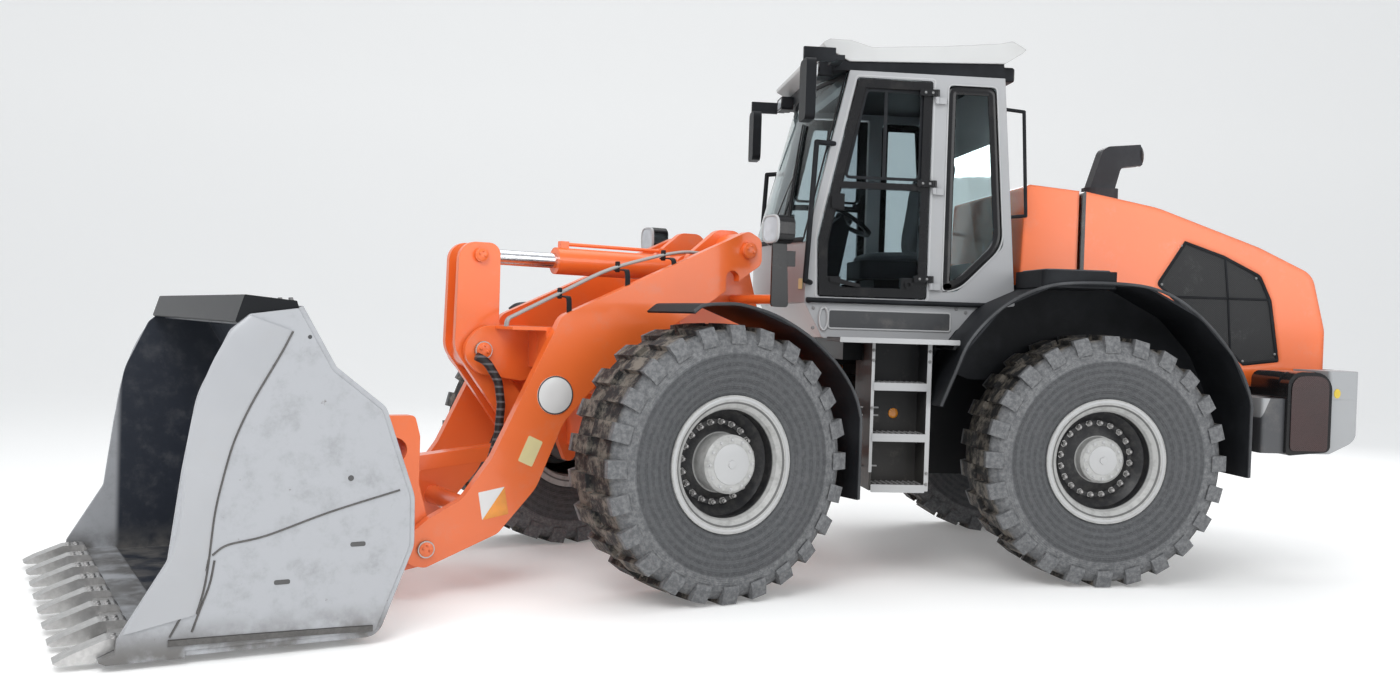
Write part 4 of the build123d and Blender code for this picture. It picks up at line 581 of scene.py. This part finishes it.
def cushion(name, centre, across, upward, half_wide, half_high, half_thick, fabric):
    """Crowned pad: superellipse outline, thickness falling off as a cosine power towards the edge, then filled
    by a cloth run with inner pressure whose travel is capped."""
    s, t = np.meshgrid(np.linspace(-np.pi / 2, np.pi / 2, 25), np.linspace(-np.pi, np.pi, 64, endpoint=False),
                       indexing="ij")

    def bend(v, power):
        return np.sign(v) * np.abs(v) ** power

    x = half_wide * bend(np.cos(s), 0.45) * bend(np.cos(t), 0.42)
    y = half_high * bend(np.cos(s), 0.45) * bend(np.sin(t), 0.42)
    z = half_thick * bend(np.sin(s), 0.7)
    a, b = unit(across), unit(upward)
    points = np.asarray(centre, float) + x[..., None] * a + y[..., None] * b + z[..., None] * np.cross(a, b)
    pad = fit_piece(name, (points.reshape(-1, 3), sheet_faces(25, 64, wrap_columns=True)), fabric,
                    crease=180)
    cell, frames, most_travel = 0.009, 20, 0.010
    remesh = pad.modifiers.new("even_cells", "REMESH")
    remesh.mode, remesh.voxel_size = "VOXEL", cell
    bpy.context.view_layer.objects.active = pad
    bpy.ops.object.modifier_apply(modifier="even_cells")
    before = np.empty(len(pad.data.vertices) * 3)
    pad.data.vertices.foreach_get("co", before)
    cloth = pad.modifiers.new("filling", "CLOTH")
    cloth.settings.use_pressure = True
    cloth.settings.uniform_pressure_force = 4.0
    cloth.settings.effector_weights.gravity = 0.0
    cloth.settings.quality = 4
    for step in range(1, frames + 1):
        bpy.context.scene.frame_set(step)
    bpy.ops.object.modifier_apply(modifier="filling")
    bpy.context.scene.frame_set(1)
    after = np.empty_like(before)
    pad.data.vertices.foreach_get("co", after)
    move = (after - before).reshape(-1, 3)
    length = np.linalg.norm(move, axis=1, keepdims=True)
    capped = before.reshape(-1, 3) + move * np.minimum(1.0, most_travel / np.maximum(length, 1e-9))
    pad.data.vertices.foreach_set("co", capped.ravel())
    pad.data.update()


finish_nodes(black_plastic, "operator_station")
dark_fabric = seat_fabric("seat_fabric", (0.030, 0.032, 0.036))
for name, centre, upward, wide, high, thick in (
    ("seat_cushion", (-430, 0, 1952), (-1, 0, 0.04), 238, 228, 34),
    ("back_cushion", (-612, 0, 2265), (-0.142, 0, 0.99), 222, 290, 34),
    ("head_cushion", (-702, 0, 2698), (-0.142, 0, 0.99), 118, 84, 22),
):
    cushion(name, centre, (0, 1, 0), upward, wide, high, thick, dark_fabric)

# ------------------------------------------------------------------ rear fenders
# Black moulded arches with a rolled outer lip, bolted to their arms; a flat locker lid sits on top.
# The lip is a round bead carried along the arch, and a wall closes the arch on its inner side.
fender_side = 1243
finish_nodes(black_plastic, "rear_fenders")
worn_edge = textured_plastic("worn_lip", (0.05, 0.052, 0.055), 0.35)
rear_arch = smooth_line([(-424, 1052), (-500, 1240), (-588, 1438), (-760, 1622), (-960, 1736), (-1180, 1786),
                         (-1560, 1788), (-1780, 1740), (-1960, 1632), (-2120, 1480), (-2245, 1310), (-2318, 1130),
                         (-2325, 1000), (-2325, 668)], 6)
rear_hub = (axle_ahead["rear"], axle_height)
arch_wall = np.concatenate([(rear_arch[8:-8] - rear_hub) * 1.02 + rear_hub,
                            [(-2290, 1120), (-1990, 1190), (-760, 1190), (-600, 1250)]])
for side, name in sides:
    fit_piece(f"rear_fender_lip_{name}", side_rim(rear_arch, fender_side, side, round_profile(9), False), worn_edge)
    fit_piece(f"arch_wall_{name}", plate(arch_wall * (-side, 1), (0, side * 723, 0), (-side, 0, 0), (0, 0, 1), 3, 1),
              black_plastic)
    lid = plate(box_loop(400, 420, 40), (-1250, side * 985, 1859), (1, 0, 0), (0, 1, 0), 10, 5)
    fit_piece(f"locker_lid_{name}", lid, dark_grey)
    places = [(x, side * 1110, 1859.5) for x in (-1105, -1395)]
    fit_piece(f"locker_bolts_{name}", bolts(12, 9, (0, 0, 1), places), bolt_steel)


# ------------------------------------------------------------------ ladder and platform
# Black box with folded steel treads; their front lips, the side flats and the platform edge are pale grey.
# Treads and platform have raised grip cones; an orange reflector is stuck on the box.
def platform_grip(skin, colour):
    """Level faces: rows of pressed cones, worn bright on their tips."""
    x, y, z = skin.parts(skin.place())
    tips = (x.wave(210.0) * y.wave(210.0)).step(0.45, 0.8)
    return skin.mix(tips * z.step(1.428, 1.4295), colour, (0.24, 0.24, 0.24))


finish_nodes(sprayed_paint("step_black", (0.022, 0.023, 0.025), 0.5, 0.1, 0.5, repaint=platform_grip),
             "access_steps")
reflector_orange = lens_plastic("reflector_orange", (0.85, 0.30, 0.02))
for side, name in sides:
    out = (0, side, 0)
    lips = [side_plate(box_loop(321, 46, 5), side, (-232.5, 1058, z), 9, 2) for z in (548, 848, 1148)]
    flats = [side_plate(box_loop(wide, high, 4), side, (x, 1058, 1404 - high / 2), thick, 2)
             for x, wide, high, thick in ((-65, 18, 760, 3), (-404, 26, 868, 6))]
    edge = side_plate(box_loop(712, 30, 5), side, (-197, 1149, 1418), 5, 2)
    fit_piece(f"ladder_lips_{name}", gather(*lips, *flats, edge), pale_grey)
    rows = [(x, side * y, z) for z in (569.5, 869.5, 1169.5) for x in range(-380, -70, 34)
            for y in (900, 940, 980, 1020)]
    fit_piece(f"tread_cones_{name}", studded([(0, 8), (5, 5.5), (7, 3)], (0, 0, 1), 8, rows), bolt_steel)
    strips = [side_plate(box_loop(112, 9, 2), side, (-98, 864, z), 5, 1) for z in (660, 965, 1012)]
    fit_piece(f"box_strips_{name}", gather(*strips), pale_grey)
    dot = turned([(-2, 30), (6, 30), (9, 26), (10, 12)], (-246, side * 865, 980), out, 28)
    fit_piece(f"step_reflector_{name}", dot, reflector_orange)
    places = [(x, side * y, z) for x, y, heights in ((-65, 1060, (1020, 1300, 1360)),
                                                     (-404, 1063, (575, 640, 1300, 1360))) for z in heights]
    fit_piece(f"ladder_bolts_{name}", bolts(10, 8, out, places), bolt_steel)


# ------------------------------------------------------------------ hood, mid cover, grilles and exhaust
# Moulded covers in gloss orange with soft edges; the hood's front rim is a black rubber seal.
# The side grilles are black expanded mesh, dusty from the radiator's air, with painted shade in the holes.
def hood_seal(skin, colour):
    """Black rubber on the first 24 mm of the hood's front rim."""
    return skin.mix(skin.axis("X").step(hinge.x - 1.480, hinge.x - 1.479), colour, (0.015, 0.015, 0.016))


machine_orange = (0.90, 0.165, 0.030)
orange = sprayed_paint("orange_paint", machine_orange, 0.33, 0.4, 0.30)
finish_nodes(sprayed_paint("cover_orange", machine_orange, 0.26, 0.6, 0.28, edge=0.045, repaint=hood_seal), "hood")
finish_nodes(sprayed_paint("mid_cover_orange", machine_orange, 0.26, 0.6, 0.28, edge=0.03), "mid_cover")


def mesh_grille(name):
    """Diamond mesh: two slanting sets of wires, the holes between painted near black as shade behind the mesh, dust
    where the air leaves.
    """
    skin = Skin(name, Roughness=0.5)
    x, z = skin.axis("X"), skin.axis("Z")
    wire = (x + z).wave(520.0).math("MAXIMUM", (x - z).wave(520.0))
    swirl = skin.noise(3.2, 6, 0.7).step(0.52, 0.80) * skin.noise(60.0, 3).step(0.3, 0.7)
    metal = skin.mix(swirl, (0.020, 0.021, 0.023), (0.17, 0.17, 0.17))
    # Near black between the wires: painted shade standing in for the dark space behind the mesh.
    skin.wire(Base_Color=skin.mix(wire.step(0.45, 0.65), (0.006, 0.006, 0.006), metal))
    skin.bump(wire, 0.5, 0.002)
    return skin.material


finish_nodes(mesh_grille("grille_mesh"), "hood_grilles")
finish_nodes(textured_plastic("exhaust_black", (0.03, 0.032, 0.036), 0.42), "exhaust")
grille_loop = rounded_loop([(-2140, 2100), (-2410, 2015), (-2660, 1900), (-2740, 1740), (-2805, 1350),
                            (-2560, 1320), (-1960, 1820)], (10, 60, 60, 60, 14, 20, 30), 8)
grille_rim = grille_loop.mean(0) + (grille_loop - grille_loop.mean(0)) * 0.975
braces = [[(-2040, 1745), (-2380, 1745), (-2735, 1745)], [(-2420, 2005), (-2450, 1740), (-2478, 1400)]]
for side, name in sides:
    fit_piece(f"grille_rim_{name}", side_rim(grille_rim, 712, side, bead_profile(24, 7)), black_plastic,
              "hood")
    fit_piece(f"grille_braces_{name}", gather(*(side_rim(line, 711.5, side, bead_profile(14, 6), False)
                                                for line in braces)), black_plastic, "hood")
    places = [(x, side * 717, z) for x, z in ((-2120, 2070), (-2630, 1880), (-2775, 1400), (-2560, 1350),
                                              (-2000, 1820))]
    fit_piece(f"grille_screws_{name}", studded([(0, 8), (3, 8), (5, 5)], (0, side, 0), 12, places), bolt_steel,
              "hood")
fit_piece("exhaust_mouth", turned([(-4, 66), (3, 70), (5, 62), (-3, 56)], (-2000, 330, 2677), (-1, 0, 0.1), 28),
          casting, "hood")
for side, name in sides:
    latch = plate(box_loop(96, 46, 12), (-3058, side * 300, 1640), (0, -1, 0), (-0.25, 0, 1), 9, 3)
    fit_piece(f"hood_latch_{name}", latch, black_plastic, "hood")

# ------------------------------------------------------------------ mirrors and grab rails
# Black moulded mirror heads on arms with silvered glass facing back; grab rails are painted tube.
# The glass is bonded into the head's rear face.
finish_nodes(black_plastic, "cab_fittings")
silvered = Skin("mirror_glass", Metallic=1.0, Roughness=0.06)
silvered.wire(Base_Color=silvered.mix(silvered.noise(5.0, 5).step(0.5, 0.8), (0.85, 0.87, 0.88), (0.6, 0.6, 0.6)))
for side, name in sides:
    mirror = plate(box_loop(176, 330, 34), (332, side * 960, 2875), (0, -1, 0), (0, 0, 1), 5, 1.5)
    fit_piece(f"mirror_glass_{name}", mirror, silvered.material)

# ------------------------------------------------------------------ front half-frame, fenders and head lamps
# Orange tower plates carry boom and cylinders; black arches with a rolled lip cover the tyres.
# Head lamps are clear ribbed lenses in black housings on upright brackets, the turn lamp below is amber.
finish_nodes(orange, "front_frame")
finish_nodes(black_plastic, "front_fenders")
finish_nodes(gloss_black, "headlamps")
finish_nodes(clear_lens, "headlamp_lenses")
front_arch = smooth_line([(1750, 1545), (1690, 1580), (1560, 1592), (1440, 1588), (1240, 1540), (1050, 1452),
                          (900, 1352), (776, 1232), (690, 1110), (650, 1000), (645, 900), (645, 528)], 6)
amber_lens = lens_plastic("amber_lens", (0.85, 0.28, 0.02))
label_cream = sprayed_paint("blank_label_cream", (0.80, 0.70, 0.36), 0.4, 0.3, 0.25, edge=0.0)
for side, name in sides:
    fit_piece(f"front_fender_lip_{name}", side_rim(front_arch, fender_side, side, round_profile(9), False),
              worn_edge, "front")
    line = placed(box_loop(150, 150, 52), (954, side * 750, 2045), (0, 1, 0))
    fit_piece(f"headlamp_bezel_{name}", carried(line, bead_profile(15, 14), (1, 0, 0), True), pale_grey,
              "front")
    amber = plate(box_loop(58, 72, 10), (889, side * 710, 1880), (0, 1, 0), (0, 0, 1), 5, 2)
    fit_piece(f"turn_lens_{name}", amber, amber_lens, "front")
    label = plate(box_loop(46, 64, 5), (323, side * 748, 1745), (-0.33, side * 0.94, 0), (0, 0, 1), 3 * side, side)
    fit_piece(f"cowl_label_{name}", label, label_cream)

# ------------------------------------------------------------------ boom, labels and pipes
# Orange plate boom with a cross tube; its outer faces carry a blank round sign, a blank cream label and a
# reflector split white and orange; two steel pipes run along the top of the cross box in clamps.
finish_nodes(orange, "boom", "bellcrank", "tilt_link", "coupler", "tilt_barrel", "lift_barrels")
sign_white = sprayed_paint("sign_white", (0.82, 0.82, 0.81), 0.35, 0.4, 0.2, edge=0.0)
sign_orange = lens_plastic("sign_orange", (0.92, 0.33, 0.03), 500.0)
pipe_steel = sprayed_paint("zinc_pipe", (0.34, 0.34, 0.33), 0.3, 0.0, 0.3, edge=0.0)
for side, name in sides:
    out = (0, side, 0)
    fit_piece(f"round_sign_{name}", turned([(-1, 107), (2.5, 107), (3.5, 105), (3.6, 30)], (2164, side * 470, 1067),
                                           out, 48), sign_white, "boom")
    rim_line = circle(48, (2164, side * 473, 1067), (103, 0, 0), (0, 0, 103))
    fit_piece(f"round_sign_rim_{name}", carried(rim_line, bead_profile(7, 1.6), out, True), dark_grey,
              "boom")
    label = side_plate(box_loop(90, 148, 8), side, (2303, 469.5, 762), 2.5, 0.8, (0.91, 0, 0.41), (-0.41, 0, 0.91))
    fit_piece(f"boom_label_{name}", label, label_cream, "boom")
    for part, corners, stuff in (("white", [(-75, -75), (-75, 75), (75, 75)], sign_white),
                                 ("orange", [(-75, -75), (75, 75), (75, -75)], sign_orange)):
        triangle = side_plate(rounded_loop(corners, 4), side, (2509, 469.5, 487), 3, 0.8, (0.985, 0, -0.17),
                              (0.17, 0, 0.985))
        fit_piece(f"boom_reflector_{part}_{name}", triangle, stuff, "boom")
pipe_run = [(2396, 292, 1436), (2384, 292, 1478), (2330, 292, 1508), (2080, 292, 1632), (1791, 292, 1772),
            (1500, 292, 1862), (1300, 292, 1905), (1190, 320, 1905)]
for offset, name in ((0, "inner"), (26, "outer")):
    pipe = smooth_line([(x, y + offset, z) for x, y, z in pipe_run] + [(1150, 420, 1892)])
    fit_piece(f"boom_pipe_{name}", carried(pipe, round_profile(9), (0, 1, 0)), pipe_steel, "boom")
clamps = []
for x, z, top in ((2080, 1632, 1522), (1720, 1798, 1684), (1420, 1880, 1815)):
    post = smooth_line([(x, 440, top - 6), (x, 430, z - 34), (x, 390, z - 20), (x, 285, z - 18)])
    clamps.append(carried(post, [(-14, -4), (14, -4), (14, 4), (-14, 4)], (0.1, 0.3, 1)))
    clamps.append(plate(box_loop(40, 62, 8), (x - 6, 305, z), (0, 1, 0), (0, 0, 1), 12, 2))
fit_piece("pipe_clamps", gather(*clamps), black_plastic, "boom")
wrap = Skin("hose_wrap", Roughness=0.5)
bands = wrap.axis("Z").wave(150.0).step(0.55, 0.75)
wrap.wire(Base_Color=wrap.mix(bands, (0.012, 0.012, 0.013), (0.11, 0.11, 0.115)))
wrap.bump(bands, 0.5, 0.002)
finish_nodes(wrap.material, "boom_hoses")


# ------------------------------------------------------------------ rods and pins
# Chromed piston rods are ground and polished; pins are turned steel.  Each pin end has a painted keeper
# cap with two bolts and a grease nipple.
def bright_steel(name, colour, roughness):
    """Bare ground steel: fine streaks, small changes of gloss."""
    skin = Skin(name, Metallic=1.0)
    streak = skin.noise(40.0, 3).step(0.35, 0.7)
    skin.wire(Base_Color=skin.mix(streak, tuple(c * 0.85 for c in colour), colour),
              Roughness=skin.noise(90.0, 2).step(0.3, 0.7, roughness, roughness + 0.12))
    skin.bump(skin.noise(300.0, 2), 0.04, 0.0005)
    return skin.material


turned_steel = bright_steel("turned_pin_steel", (0.5, 0.49, 0.48), 0.35)
finish_nodes(bright_steel("chromed_rod", (0.8, 0.8, 0.82), 0.12), "tilt_rod", "lift_rods", "steer_rod_left",
             "steer_rod_right")
finish_nodes(turned_steel, "bellcrank_pin", "link_pin", "bucket_pins")
finish_nodes(black, "steer_barrel_left", "steer_barrel_right")
for name, body, x, z, y, radius in (
    ("boom_root", "front", 930, 1930, 494, 46), ("boom_tip", "bucket_pins", 2880, 265, 489, 40),
    ("bellcrank_pivot", "bellcrank_pin", 2470, 1300, 174, 46), ("bellcrank_top", "bellcrank", 2476, 1833, 124, 36),
    ("bellcrank_foot", "bellcrank", 2080, 740, 124, 36), ("link_nose", "link_pin", 2925, 650, 114, 36),
):
    shapes = []
    for side in (1, -1):
        out = (0, side, 0)
        cap = [(-1, radius * 0.96), (4, radius * 0.96), (6, radius * 0.88), (6.5, radius * 0.3)]
        places = [(x + radius * 0.45 * way, side * (y + 6), z + radius * 0.2 * way) for way in (1, -1)]
        shapes += [turned(cap, (x, side * y, z), out, 28), bolts(9, radius * 0.17, out, places),
                   turned([(5, 7), (12, 5), (14, 3)], (x - 3, side * y, z + radius * 0.55), out, 8)]
    fit_piece(f"{name}_keepers", gather(*shapes), orange, body)


# ------------------------------------------------------------------ bucket
# Welded plate bucket: pale grey outside, dark scoured steel inside, bare bright teeth and lip.  A bevelled
# edge strip is welded along the front of each side plate, a wear bar along its foot; weld beads join them.  The
# dark bead along the strip's inner seam is painted shadow of the seam.
bucket_side = 1264


def bucket_skin(name):
    """Paint by side of the plate: the faces that look into the mouth are dark, the others pale and chipped."""
    skin = Skin(name)
    x, y, z = skin.parts(skin.node("Mapping", {"Vector": skin.place(), "Location": hinge,
                                               "Rotation": (0, 0, steer_turn)}, vector_type="TEXTURE"))
    ahead, left, upward = skin.parts(skin.node("VectorRotate", {"Vector": skin.place("Normal"),
                                                                "Angle": -steer_turn}, rotation_type="Z_AXIS"))
    between = abs(y).step(1.2475, 1.2465)
    scooping = between * (ahead * 0.8 + upward * 0.6).step(0.05, 0.12)
    cheek = between * abs(left).step(0.6, 0.7)
    inside = scooping.math("MAXIMUM", cheek) * x.step(4.19, 4.15)
    worn = skin.noise(9.0, 8, 0.7).step(0.45, 0.75)
    outer = skin.mix(worn, (0.40, 0.41, 0.43), (0.31, 0.317, 0.33))
    outer = skin.mix(skin.noise(26.0, 6, 0.75).step(0.66, 0.72), outer, (0.20, 0.19, 0.185))
    inner = skin.mix(worn, (0.026, 0.031, 0.043), (0.060, 0.064, 0.074))
    low = z.step(0.22, 0.04) * skin.noise(5.0, 6).step(0.38, 0.6)
    skin.wire(Base_Color=skin.mix(low, skin.mix(inside, outer, inner), (0.14, 0.135, 0.13)),
              Roughness=worn.step(0.0, 1.0, 0.36, 0.55))
    skin.bump(skin.noise(30.0, 6), 0.10, 0.002, 0.006)
    return skin.material


finish_nodes(bucket_skin("bucket_paint"), "bucket")
finish_nodes(black, "spill_guard")
worn_steel = bright_steel("worn_tooth_steel", (0.62, 0.61, 0.60), 0.34)
finish_nodes(worn_steel, "bucket_teeth")
strip_paint = sprayed_paint("strip_paint", (0.42, 0.43, 0.45), 0.38, 0.1, 0.25, edge=0.0)
# Dark steel for the weld beads, also used for the dark bead that paints the edge strip's seam shadow.
weld_and_seam_shadow_steel = bright_steel("weld_and_seam_shadow_bead", (0.16, 0.155, 0.15), 0.5)
outer_edge = smooth_line([(4412, 150), (4330, 300), (4240, 452), (4203, 640), (4192, 814), (4172, 980),
                          (4138, 1125), (4085, 1270), (4014, 1396), (3944, 1464)], 6)
seam_line = smooth_line([(4128, 210), (4102, 310), (4085, 430), (4066, 620), (4036, 772), (3994, 930),
                         (3933, 1075), (3872, 1190), (3808, 1306), (3762, 1400)], 6)
# The second line runs along the edge strip's inner seam: its dark bead is painted shadow of the seam.
bead_lines = [[(4072, 452), (4010, 492), (3851, 523), (3586, 610), (3275, 694)], seam_line[::3],
              [(4086, 440), (4120, 330), (4180, 220), (4232, 122)],
              [(4062, 430), (4080, 330), (4118, 220), (4146, 136)]]
strip_share = np.array([0.0, 0.06, 0.12, 0.93, 1.0])
strip_lift = np.array([0.0, 7.0, 9.0, 9.0, 0.0])
strip = seam_line[:, None] + (outer_edge - seam_line)[:, None] * strip_share[None, :, None]
wear_line = [(4238, 98), (3900, 92), (3560, 84), (3385, 78)]
for side, name in sides:
    band = np.stack([strip[..., 0], np.broadcast_to(side * (bucket_side + strip_lift), strip.shape[:2]),
                     strip[..., 1]], -1)
    fit_piece(f"bucket_edge_{name}", stacked(band), strip_paint, "bucket")
    beads = [side_rim(smooth_line(line), bucket_side + 2, side, round_profile(4.5, 8), False)
             for line in bead_lines]
    fit_piece(f"bucket_welds_and_seam_shadow_{name}", gather(*beads), weld_and_seam_shadow_steel, "bucket")
    marks = [side_plate(box_loop(66, 20, 9.5), side, (x, bucket_side, z), 2.2, 1)
             for x, z in ((3459, 461), (3784, 317))]
    marks += [turned([(-1, r), (2, r), (2.4, r * 0.5)], (x, side * bucket_side, z), (0, side, 0), 20)
              for x, z, r in ((3497, 756, 13), (3690, 1377, 9))]
    fit_piece(f"bucket_marks_{name}", gather(*marks), dark_grey, "bucket")
    wear = side_rim(wear_line, bucket_side, side, [(-15, 0), (15, 0), (12, 9), (-12, 9)], False)
    fit_piece(f"bucket_wear_bar_{name}", wear, weld_and_seam_shadow_steel, "bucket")
tooth_pitch = 326
tooth_rows = (np.arange(8) - 3.5) * tooth_pitch
places = [(x, y + dy, 121.5) for y in tooth_rows for dy in (-26, 26) for x in (4392, 4432)]
fit_piece("tooth_bolts", studded([(0, 15), (4, 14), (7, 8)], (0, 0, 1), 14, places), turned_steel,
          "bucket")
segments = [plate(box_loop(200, 92, 8), (4385, y + tooth_pitch / 2, 73.5), (0, 1, 0), (-1, 0, 0), 16, 5)
            for y in tooth_rows[:-1]]
fit_piece("lip_segments", gather(*segments), worn_steel, "bucket")
inner_shell = smooth_line([(3373, 85), (3262, 400), (3262, 650), (3385, 1035), (3605, 1215)])
seams = [side_rim(inner_shell, 1243, side, round_profile(7, 8), False) for side in (1, -1)]
fit_piece("bucket_inner_welds", gather(*seams), weld_and_seam_shadow_steel, "bucket")
places = [(3748, y, 1533.0) for y in np.linspace(-1150, 1150, 12)]
fit_piece("guard_bolts", bolts(14, 11, (0.1, 0, 1), places), bolt_steel, "bucket")


# ------------------------------------------------------------------ tyres and rims
# Radial loader tyres of black rubber, the walls ribbed and dusty with painted highlight on the rings and a paler
# painted highlight on the shoulder, mud in the tread; welded rims in pale grey with a dark dish, twenty studs with
# nuts round the hub and a ring of cap bolts.
def axle_distance(skin, centre, axis):
    """Distance from the axle line, and place along it, from Object coordinates: the first is the root of
    the squared distance from the centre less the squared place along the axle."""
    arm = skin.node("VectorMath", {0: skin.place(), 1: centre}, operation="SUBTRACT")
    along = skin.node("VectorMath", {0: arm, 1: axis}, "Value", operation="DOT_PRODUCT")
    reach = skin.node("VectorMath", {0: arm}, "Value", operation="LENGTH")
    return (reach * reach - along * along).math("MAXIMUM").math("SQRT"), along


def tyre_rubber(name, centre, outward):
    """Black rubber: grey dusty wall whose fine rings are painted lighter as highlight, shoulder painted paler as
    highlight, mud patches on the tread.
    """
    skin = Skin(name, Roughness=0.75)
    radius, along = axle_distance(skin, centre, outward)
    wall = abs(along).step(0.185, 0.215)
    mud = skin.noise(11.0, 8, 0.72).step(0.44, 0.62)
    speck = skin.noise(42.0, 5, 0.7).step(0.35, 0.7)
    # Wall: grey dust, with lighter bands on the rings: painted highlight.
    wall_dust_and_ring_highlight = skin.mix(radius.wave(150.0).step(-0.4, 0.6) * 0.35,
                         skin.mix(speck, (0.050, 0.052, 0.056), (0.085, 0.087, 0.091)), (0.115, 0.12, 0.125))
    # Shoulder paler than the wall: painted highlight where the rounded shoulder meets the light.
    shoulder_painted_highlight = skin.mix(speck, (0.10, 0.103, 0.108), (0.19, 0.193, 0.197))
    tread = skin.mix(mud, (0.014, 0.014, 0.015), (0.17, 0.15, 0.125))
    side_dust_and_highlight = skin.mix(radius.step(0.585, 0.60) * wall, wall_dust_and_ring_highlight, shoulder_painted_highlight)
    skin.wire(Base_Color=skin.mix(wall, tread, side_dust_and_highlight))
    rings = radius.wave(560.0) * radius.step(0.66, 0.62)
    skin.bump(rings * 0.3 + (skin.noise(45.0, 7, 0.65) + mud * 0.5), 0.6, 0.004)
    return skin.material


def rim_paint(name, centre, outward, cap_radius):
    """Pale grey on flange and hub cap with a dark joint ring between, black inside the dish."""
    skin = Skin(name, Roughness=0.42)
    radius, _ = axle_distance(skin, centre, outward)
    dish = radius.step(cap_radius + 0.004, cap_radius + 0.008) * radius.step(0.292, 0.288)
    joint_ring = radius.step(0.322, 0.325) * radius.step(0.336, 0.333)
    worn = skin.noise(22.0, 6, 0.65).step(0.42, 0.7)
    light = skin.mix(worn, (0.42, 0.42, 0.41), (0.31, 0.31, 0.30))
    # Near black for the recessed dish, darker than flange and cap.
    dish_dark = skin.mix(worn, (0.014, 0.014, 0.016), (0.040, 0.039, 0.037))
    skin.wire(Base_Color=skin.mix(dish.math("MAXIMUM", joint_ring * 0.75), light, dish_dark))
    skin.bump(skin.noise(120.0, 4), 0.12, 0.001, 0.005)
    return skin.material


half_track = 990
nut = [(0, 21), (3, 21), (3.4, 15.5), (19, 15.5), (22, 12), (22.2, 9), (34, 9), (36, 6)]
for end, reach, cap_radius in (("front", 214, 158), ("rear", 170, 135)):
    for side, name in sides:
        wheel, out, along = f"{end}_{name}", (0, side, 0), axle_ahead[end]
        spin = joints[f"wheel_{wheel}_spin"]
        centre, outward = Vector(spin["pos_m"]), Vector(spin["axis"]).normalized() * side
        finish_nodes(tyre_rubber(f"tyre_rubber_{wheel}", centre, outward), f"tyre_{wheel}")
        finish_nodes(rim_paint(f"rim_paint_{wheel}", centre, outward, cap_radius / 1000), f"rim_{wheel}")
        studs = circle(20, (along, side * (half_track + 59), axle_height), (218, 0, 0), (0, 0, 218), 0.1)
        fit_piece(f"wheel_nuts_{wheel}", studded(nut, out, 6, studs), turned_steel, f"wheel_{wheel}")
        cap = cap_radius - 26
        heads = circle(12, (along, side * (half_track + reach - 0.5), axle_height), (cap, 0, 0), (0, 0, cap))
        cover = turned([(-1, cap - 22), (4, cap - 24), (6, cap - 30), (6, 22), (12, 20), (13, 10)],
                       (along, side * (half_track + reach), axle_height), out, 40)
        fit_piece(f"hub_cap_{wheel}", gather(bolts(9, 8, out, heads), cover), pale_grey,
                  f"wheel_{wheel}")
        flange = circle(72, (along, side * (half_track + 222), axle_height), (352, 0, 0), (0, 0, 352))
        fit_piece(f"flange_ring_{wheel}", carried(flange, bead_profile(16, 6), out, True), pale_grey,
                  f"wheel_{wheel}")
